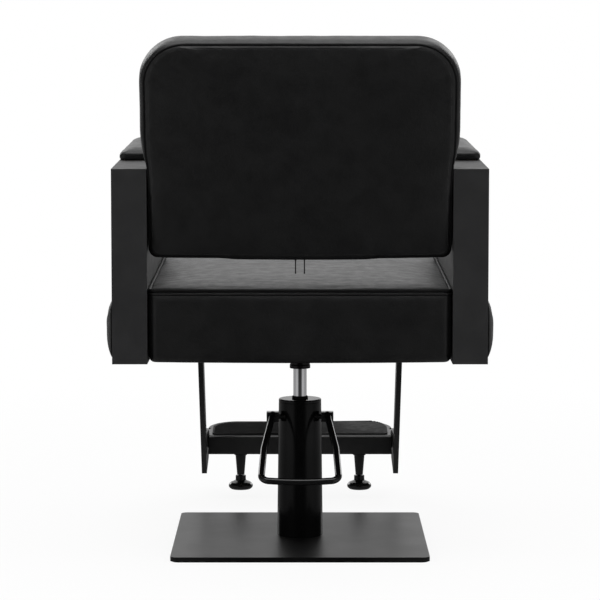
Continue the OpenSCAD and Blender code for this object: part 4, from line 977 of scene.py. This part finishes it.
bead_tree, bead_in, bead_out = new_tree(
    "row_of_beads_on_a_line", Pitch="Float", Along="Float", Thick="Float", Segments="Int")
bead_spots = node(bead_tree, "GeometryNodeCurveToPoints", mode="LENGTH")
bead = node(bead_tree, "GeometryNodeMeshUVSphere")
bead.inputs["Radius"].default_value = 0.5
bead.inputs["Rings"].default_value = 5
bead_size = node(bead_tree, "ShaderNodeCombineXYZ")
bead_put = node(bead_tree, "GeometryNodeInstanceOnPoints")
chain(bead_tree, bead_in, "MeshToCurve", bead_spots, bead_put, "RealizeInstances", "SetShadeSmooth",
      bead_out)
wire((bead_in.outputs["Pitch"], bead_spots.inputs["Length"]),
     (bead_in.outputs["Segments"], bead.inputs["Segments"]), (bead.outputs[0], bead_put.inputs["Instance"]),
     (bead_in.outputs["Thick"], bead_size.inputs[0]), (bead_in.outputs["Thick"], bead_size.inputs[1]),
     (bead_in.outputs["Along"], bead_size.inputs[2]), (bead_size.outputs[0], bead_put.inputs["Scale"]),
     (bead_spots.outputs["Rotation"], bead_put.inputs["Rotation"]))

ZIP_Y, ZIP_SINK, ZIP_HALF, COIL_W = -0.016, -0.0024, 0.2275, 0.0024
for name, shift in (("front", -COIL_W / 2), ("rear", COIL_W / 2)):
    row = line_piece("zip_coil_" + name, [on_back(x, ZIP_Y + shift, ZIP_SINK) for x in (-ZIP_HALF, ZIP_HALF)])
    settle(grow(row, bead_tree, Pitch=0.0016, Along=0.0011, Thick=COIL_W, Segments=8), "seat", zip_coil,
           "zip_black")
for side, _ in SIDES:
    settle(eased("zip_slider_" + side, "zip_runner_" + side, 0.0004), "zip_" + side, zip_enamel, "zip_metal",
           "zip_slider_" + side)
    settle(eased("zip_pull_" + side, "zip_tab_" + side, 0.0002, steps=2), "pull_" + side, zip_enamel,
           "zip_metal", "zip_pull_" + side)

# Seam stitches
# Black thread runs in small stitches beside the piping of the seat and backrest,
# through the cover.

thread = finish("black_thread", 0.01, 0.018, (0.5, 0.65),
                [("cloud", 0.0003, 0.00005, 2)], patch=0.003, Sheen_Weight=0.2)
STITCH_W, PANEL_STITCH_IN = 0.0007, 0.0095
for name, cover, path in (
        ("seat_stitches", seat, seat_line(0.001, SEAT_H - 0.0075)),
        ("backrest_stitches_rear", back, back_line(PANEL_STITCH_IN, 0, 0, PANEL_STITCH_IN)),
        ("backrest_stitches_front", back, back_line(PANEL_STITCH_IN, BACK_T, 0, PANEL_STITCH_IN))):
    row = line_piece(name, on_cover(cover, path, 0.0001), closed=True)
    settle(grow(row, bead_tree, Pitch=0.0042, Along=0.0032, Thick=STITCH_W, Segments=6), "seat", thread,
           "piping_black")

# Footrest arms
# Two flat steel bars, bent at the top into tabs that bolt under the seat, with
# a cheek at the foot that the tray is bolted between. Satin black coat.

coat_grain = [("cloud", 0.0014, 0.00005, 2)]
frame_coat = finish("footrest_black_coat", (0.0045, 0.0045, 0.0046), (0.0062, 0.0062, 0.0063),
                    (0.32, 0.4), coat_grain, patch=0.05, Specular_IOR_Level=0.5)
BAR_MID_X, BAR_HALF_T, COAT_BUILD = 0.188, 0.004, 0.0009
for side, _ in SIDES:
    hanger = eased("footrest_arm_" + side, "hanger_" + side, 0.0012)
    co = points_of(hanger.data)
    from_middle = (abs(co[:, 0]) - BAR_MID_X) / BAR_HALF_T
    co[:, 0] += np.sign(co[:, 0]) * COAT_BUILD * np.clip(from_middle, -1, 1)
    set_points(hanger.data, co)
    settle(hanger, "seat", frame_coat, "footrest_paint", "footrest_arm_" + side)

# Footrest tray
# Pressed sheet steel with a turned-down rear flange and side flanges, in a black
# coat a little lighter than the arms'.

TRAY_Y, TRAY_Z, TRAY_D = 0.42, 0.1275, 0.125
TILT = radians(5.3)
TRAY_HALF_W, TRAY_R, TRAY_T, TRAY_BEND = 0.1822, 0.057, 0.003, 0.0065
FLANGE_H, FLANGE_HALF_W, FLANGE_FLARE = 0.037, 0.1785, 0.0032
SIDE_H, SIDE_FLARE, EAR = 0.026, 0.0004, 0.009
tray_coat = finish("tray_black_coat", (0.0125, 0.0125, 0.0127), (0.0155, 0.0155, 0.0157),
                   (0.3, 0.36), coat_grain, patch=0.05, Specular_IOR_Level=0.5)
on_tray = tilted(-TRAY_Y, TRAY_Z, TILT)


def lip_section(drop, flare):
    """A turned-down edge in section: outwards from the edge, and up."""
    outside, inside = ([(-TRAY_BEND + r * sin(radians(a)), -TRAY_BEND + r * cos(radians(a)))
                        for a in range(0, 91, 10)] for r in (TRAY_BEND, TRAY_BEND - TRAY_T))
    return outside + [(flare, -drop), (flare - TRAY_T, -drop)] + inside[::-1]


def tray_front(half_w, r, front):
    """The tray's outline round its front, from its right side to its left."""
    arc = [(half_w - r + r * cos(radians(a)), front + r - r * sin(radians(a)))
           for a in range(0, 91, 6)]
    return arc + [(-x, y) for x, y in reversed(arc)]


def pressed(name, rings):
    """A closed shape through rings of points with flat ends."""
    n, m = len(rings[0]), len(rings)
    return solid(name, [p for ring in rings for p in ring],
                 ring_faces(n, m) + [tuple(reversed(range(n))), tuple(range((m - 1) * n, m * n))], 40)


bed_w, bend_y = TRAY_HALF_W - TRAY_BEND, TRAY_R - TRAY_D
bed = [(bed_w, -EAR), (bed_w, bend_y)] + tray_front(TRAY_HALF_W, TRAY_R, -TRAY_D)
bed += [(-bed_w, bend_y), (-bed_w, -EAR), (-bed_w + 0.001, -TRAY_BEND), (bed_w - 0.001, -TRAY_BEND)]
tray = [pressed("tray_bed", [[on_tray(x, y, z) for x, y in bed] for z in (-TRAY_T, 0)]),
        pressed("tray_rear_lip", [[
            on_tray(sign * (FLANGE_HALF_W + FLANGE_FLARE * min(1, -v / FLANGE_H)), u, v)
            for u, v in lip_section(FLANGE_H, 0.0005)] for sign in (-1, 1)])]
for side, sign in SIDES:
    tray.append(pressed("tray_side_lip_" + side, [
        [on_tray(sign * (TRAY_HALF_W + u), y, v) for u, v in lip_section(SIDE_H, SIDE_FLARE)]
        for y in (bend_y, -EAR)]))
for piece in tray:
    settle(piece, "seat", tray_coat, "footrest_paint", "footrest_tray")

# Tread mat
# A moulded black rubber mat with low cross ribs for the feet, glued on the tray
# a little inside its edge.

MAT_IN, MAT_T, RIB_W, RIB_H = 0.009, 0.0025, 0.0022, 0.0018
rib_tree, rib_in, rib_out = new_tree("ribs_across_a_mat", Width="Float", Height="Float")
rib_bar = node(rib_tree, "GeometryNodeMeshCylinder")
for key, value in (("Vertices", 16), ("Radius", 0.5), ("Depth", 2.0)):
    rib_bar.inputs[key].default_value = value
rib_half = node(rib_tree, "GeometryNodeInputNamedAttribute", data_type="FLOAT")
rib_half.inputs["Name"].default_value = "half_width"
rib_size = node(rib_tree, "ShaderNodeCombineXYZ")
rib_put = node(rib_tree, "GeometryNodeInstanceOnPoints")
rib_put.inputs["Rotation"].default_value = (-TILT, pi / 2, 0)
chain(rib_tree, rib_in, rib_put, "RealizeInstances", rib_out)
wire((rib_bar.outputs[0], rib_put.inputs["Instance"]),
     (rib_in.outputs["Height"], rib_size.inputs[0]), (rib_in.outputs["Width"], rib_size.inputs[1]),
     (rib_half.outputs["Attribute"], rib_size.inputs[2]), (rib_size.outputs[0], rib_put.inputs["Scale"]))

mat_front = -TRAY_D + MAT_IN
mat_w, mat_r = TRAY_HALF_W - MAT_IN, TRAY_R - MAT_IN
MAT_REAR, MAT_REAR_R, MAT_CHAMFER = -0.011, 0.005, 0.006
mat_line = [(mat_w, MAT_REAR - MAT_REAR_R), (mat_w - MAT_CHAMFER, MAT_REAR),
            (-mat_w + MAT_CHAMFER, MAT_REAR), (-mat_w, MAT_REAR - MAT_REAR_R)]
mat_line += [(-x, y) for x, y in tray_front(mat_w, mat_r, mat_front)]


def inset_line(line, inset):
    middle_y = mat_front + 0.06
    return [(x - copysign(inset, x), y - inset * (1 if y > middle_y else -1)) for x, y in line]


mat_rings = [[on_tray(x, y, z) for x, y in inset_line(mat_line, inset)]
             for inset, z in ((0, 0), (0, MAT_T - 0.0008), (0.0003, MAT_T - 0.0002), (0.0008, MAT_T))]
tread = stacked("tread_mat", mat_rings)
shade(tread.data, 40)
settle(tread, "seat", rubber, "black_rubber", "footrest_mat")
RIB_PITCH, RIB_FIRST, RIB_COUNT = 0.005, -0.015, 22
spots, halves = [], []
for k in range(RIB_COUNT):
    y = RIB_FIRST - k * RIB_PITCH
    inside = y - (mat_front + mat_r)
    half = mat_w if inside > 0 else mat_w - mat_r + sqrt(max(mat_r ** 2 - inside ** 2, 0))
    if y > mat_front + 0.004:
        spots.append(on_tray(0, y, MAT_T))
        halves.append(half - 0.003)
ribs = line_piece("tread_ribs", spots)
ribs.data.attributes.new("half_width", "FLOAT", "POINT").data.foreach_set("value", halves)
settle(closed_up(grow(ribs, rib_tree, Width=RIB_W, Height=RIB_H), 50), "seat", rubber, "black_rubber")

# Tray legs
# Two turned legs welded under the tray, tapered to the thread of the feet, in
# the footrest's black coat.

FOOT_X, FOOT_Y = 0.118, -0.47
LEG_FOOT_Z, LEG_BOSS_Z, LEG_BORE_R, LEG_R = 0.043, 0.082, 0.0042, 0.013
leg_top = TRAY_Z - 0.0035 + sin(TILT) * (-FOOT_Y - TRAY_Y)
legs = [turned("tray_leg_" + side, [
    (LEG_BORE_R, LEG_FOOT_Z), (0.0073, LEG_FOOT_Z), (0.0104, LEG_BOSS_Z), (LEG_R, LEG_BOSS_Z + 0.0005),
    (LEG_R, leg_top), (LEG_BORE_R, leg_top)], [0.0002, 0.0007, 0.0012, 0.0012, 0.0004, 0.0004],
    at=(sign * FOOT_X, FOOT_Y), steps=64) for side, sign in SIDES]
for leg in legs:
    settle(leg, "seat", frame_coat, "footrest_paint", "foot_legs")

# Feet studs
# Zinc-plated studs with a rolled thread, screwed into the legs and fast in the
# moulded feet, so that each foot can be turned up or down.


STUD_R, THREAD_PITCH, THREAD_DEPTH = 0.004, 0.00125, 0.0006


def threaded(name, at, low, high, around=20, rows=8):
    """A stud whose thread winds up it, with flat ends."""
    verts = []
    count = int((high - low) / THREAD_PITCH * rows)
    for j in range(count + 1):
        for i in range(around):
            turn = i / around
            run = min(1, j / rows, (count - j) / rows)
            r = STUD_R - THREAD_DEPTH * run * (1 - abs(2 * ((j / rows - turn) % 1) - 1))
            a = 2 * pi * turn
            verts.append((at[0] + r * cos(a), at[1] + r * sin(a), low + (high - low) * j / count))
    ends = [tuple(reversed(range(around))), tuple(range(count * around, (count + 1) * around))]
    return solid(name, verts, ring_faces(around, count + 1) + ends, 50)


for side, sign in SIDES:
    low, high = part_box("foot_stud_" + side)
    settle(threaded("stud_" + side, (sign * FOOT_X, FOOT_Y), low[2], high[2]), "stud_" + side, zinc,
           "steel", "foot_stud_" + side)

# Feet
# Moulded black plastic glides: a domed disc that spreads the load and a collar
# round the stud, which is gripped to turn it.

moulded = finish("moulded_black", (0.002, 0.002, 0.0021), (0.0035, 0.0035, 0.0036), (0.14, 0.22),
                 [("cloud", 0.003, 0.00006, 2)], patch=0.02, Specular_IOR_Level=0.5)
GLIDE_Z, GLIDE_TOP_Z, GLIDE_BORE_R, GLIDE_BORE_Z = 0.014, 0.042, 0.00405, 0.021
for side, sign in SIDES:
    settle(turned("glide_" + side, [
        (0, GLIDE_Z), (0.019, GLIDE_Z), (0.0238, GLIDE_Z + 0.0042), (0.0241, GLIDE_Z + 0.0088),
        (0.0205, GLIDE_Z + 0.0138), (0.014, GLIDE_Z + 0.0162), (0.0102, GLIDE_Z + 0.0185),
        (0.0102, GLIDE_TOP_Z - 0.0005), (0.009, GLIDE_TOP_Z), (GLIDE_BORE_R, GLIDE_TOP_Z),
        (GLIDE_BORE_R, GLIDE_BORE_Z), (0, GLIDE_BORE_Z)],
        [0, 0.002, 0.003, 0.003, 0.005, 0.004, 0.003, 0.0008, 0.0004, 0.0002, 0.0002, 0],
        at=(sign * FOOT_X, FOOT_Y), closed=False, arc=6),
        "glide_" + side, moulded, "glide_plastic", "foot_glide_" + side)

low, high = cad_box
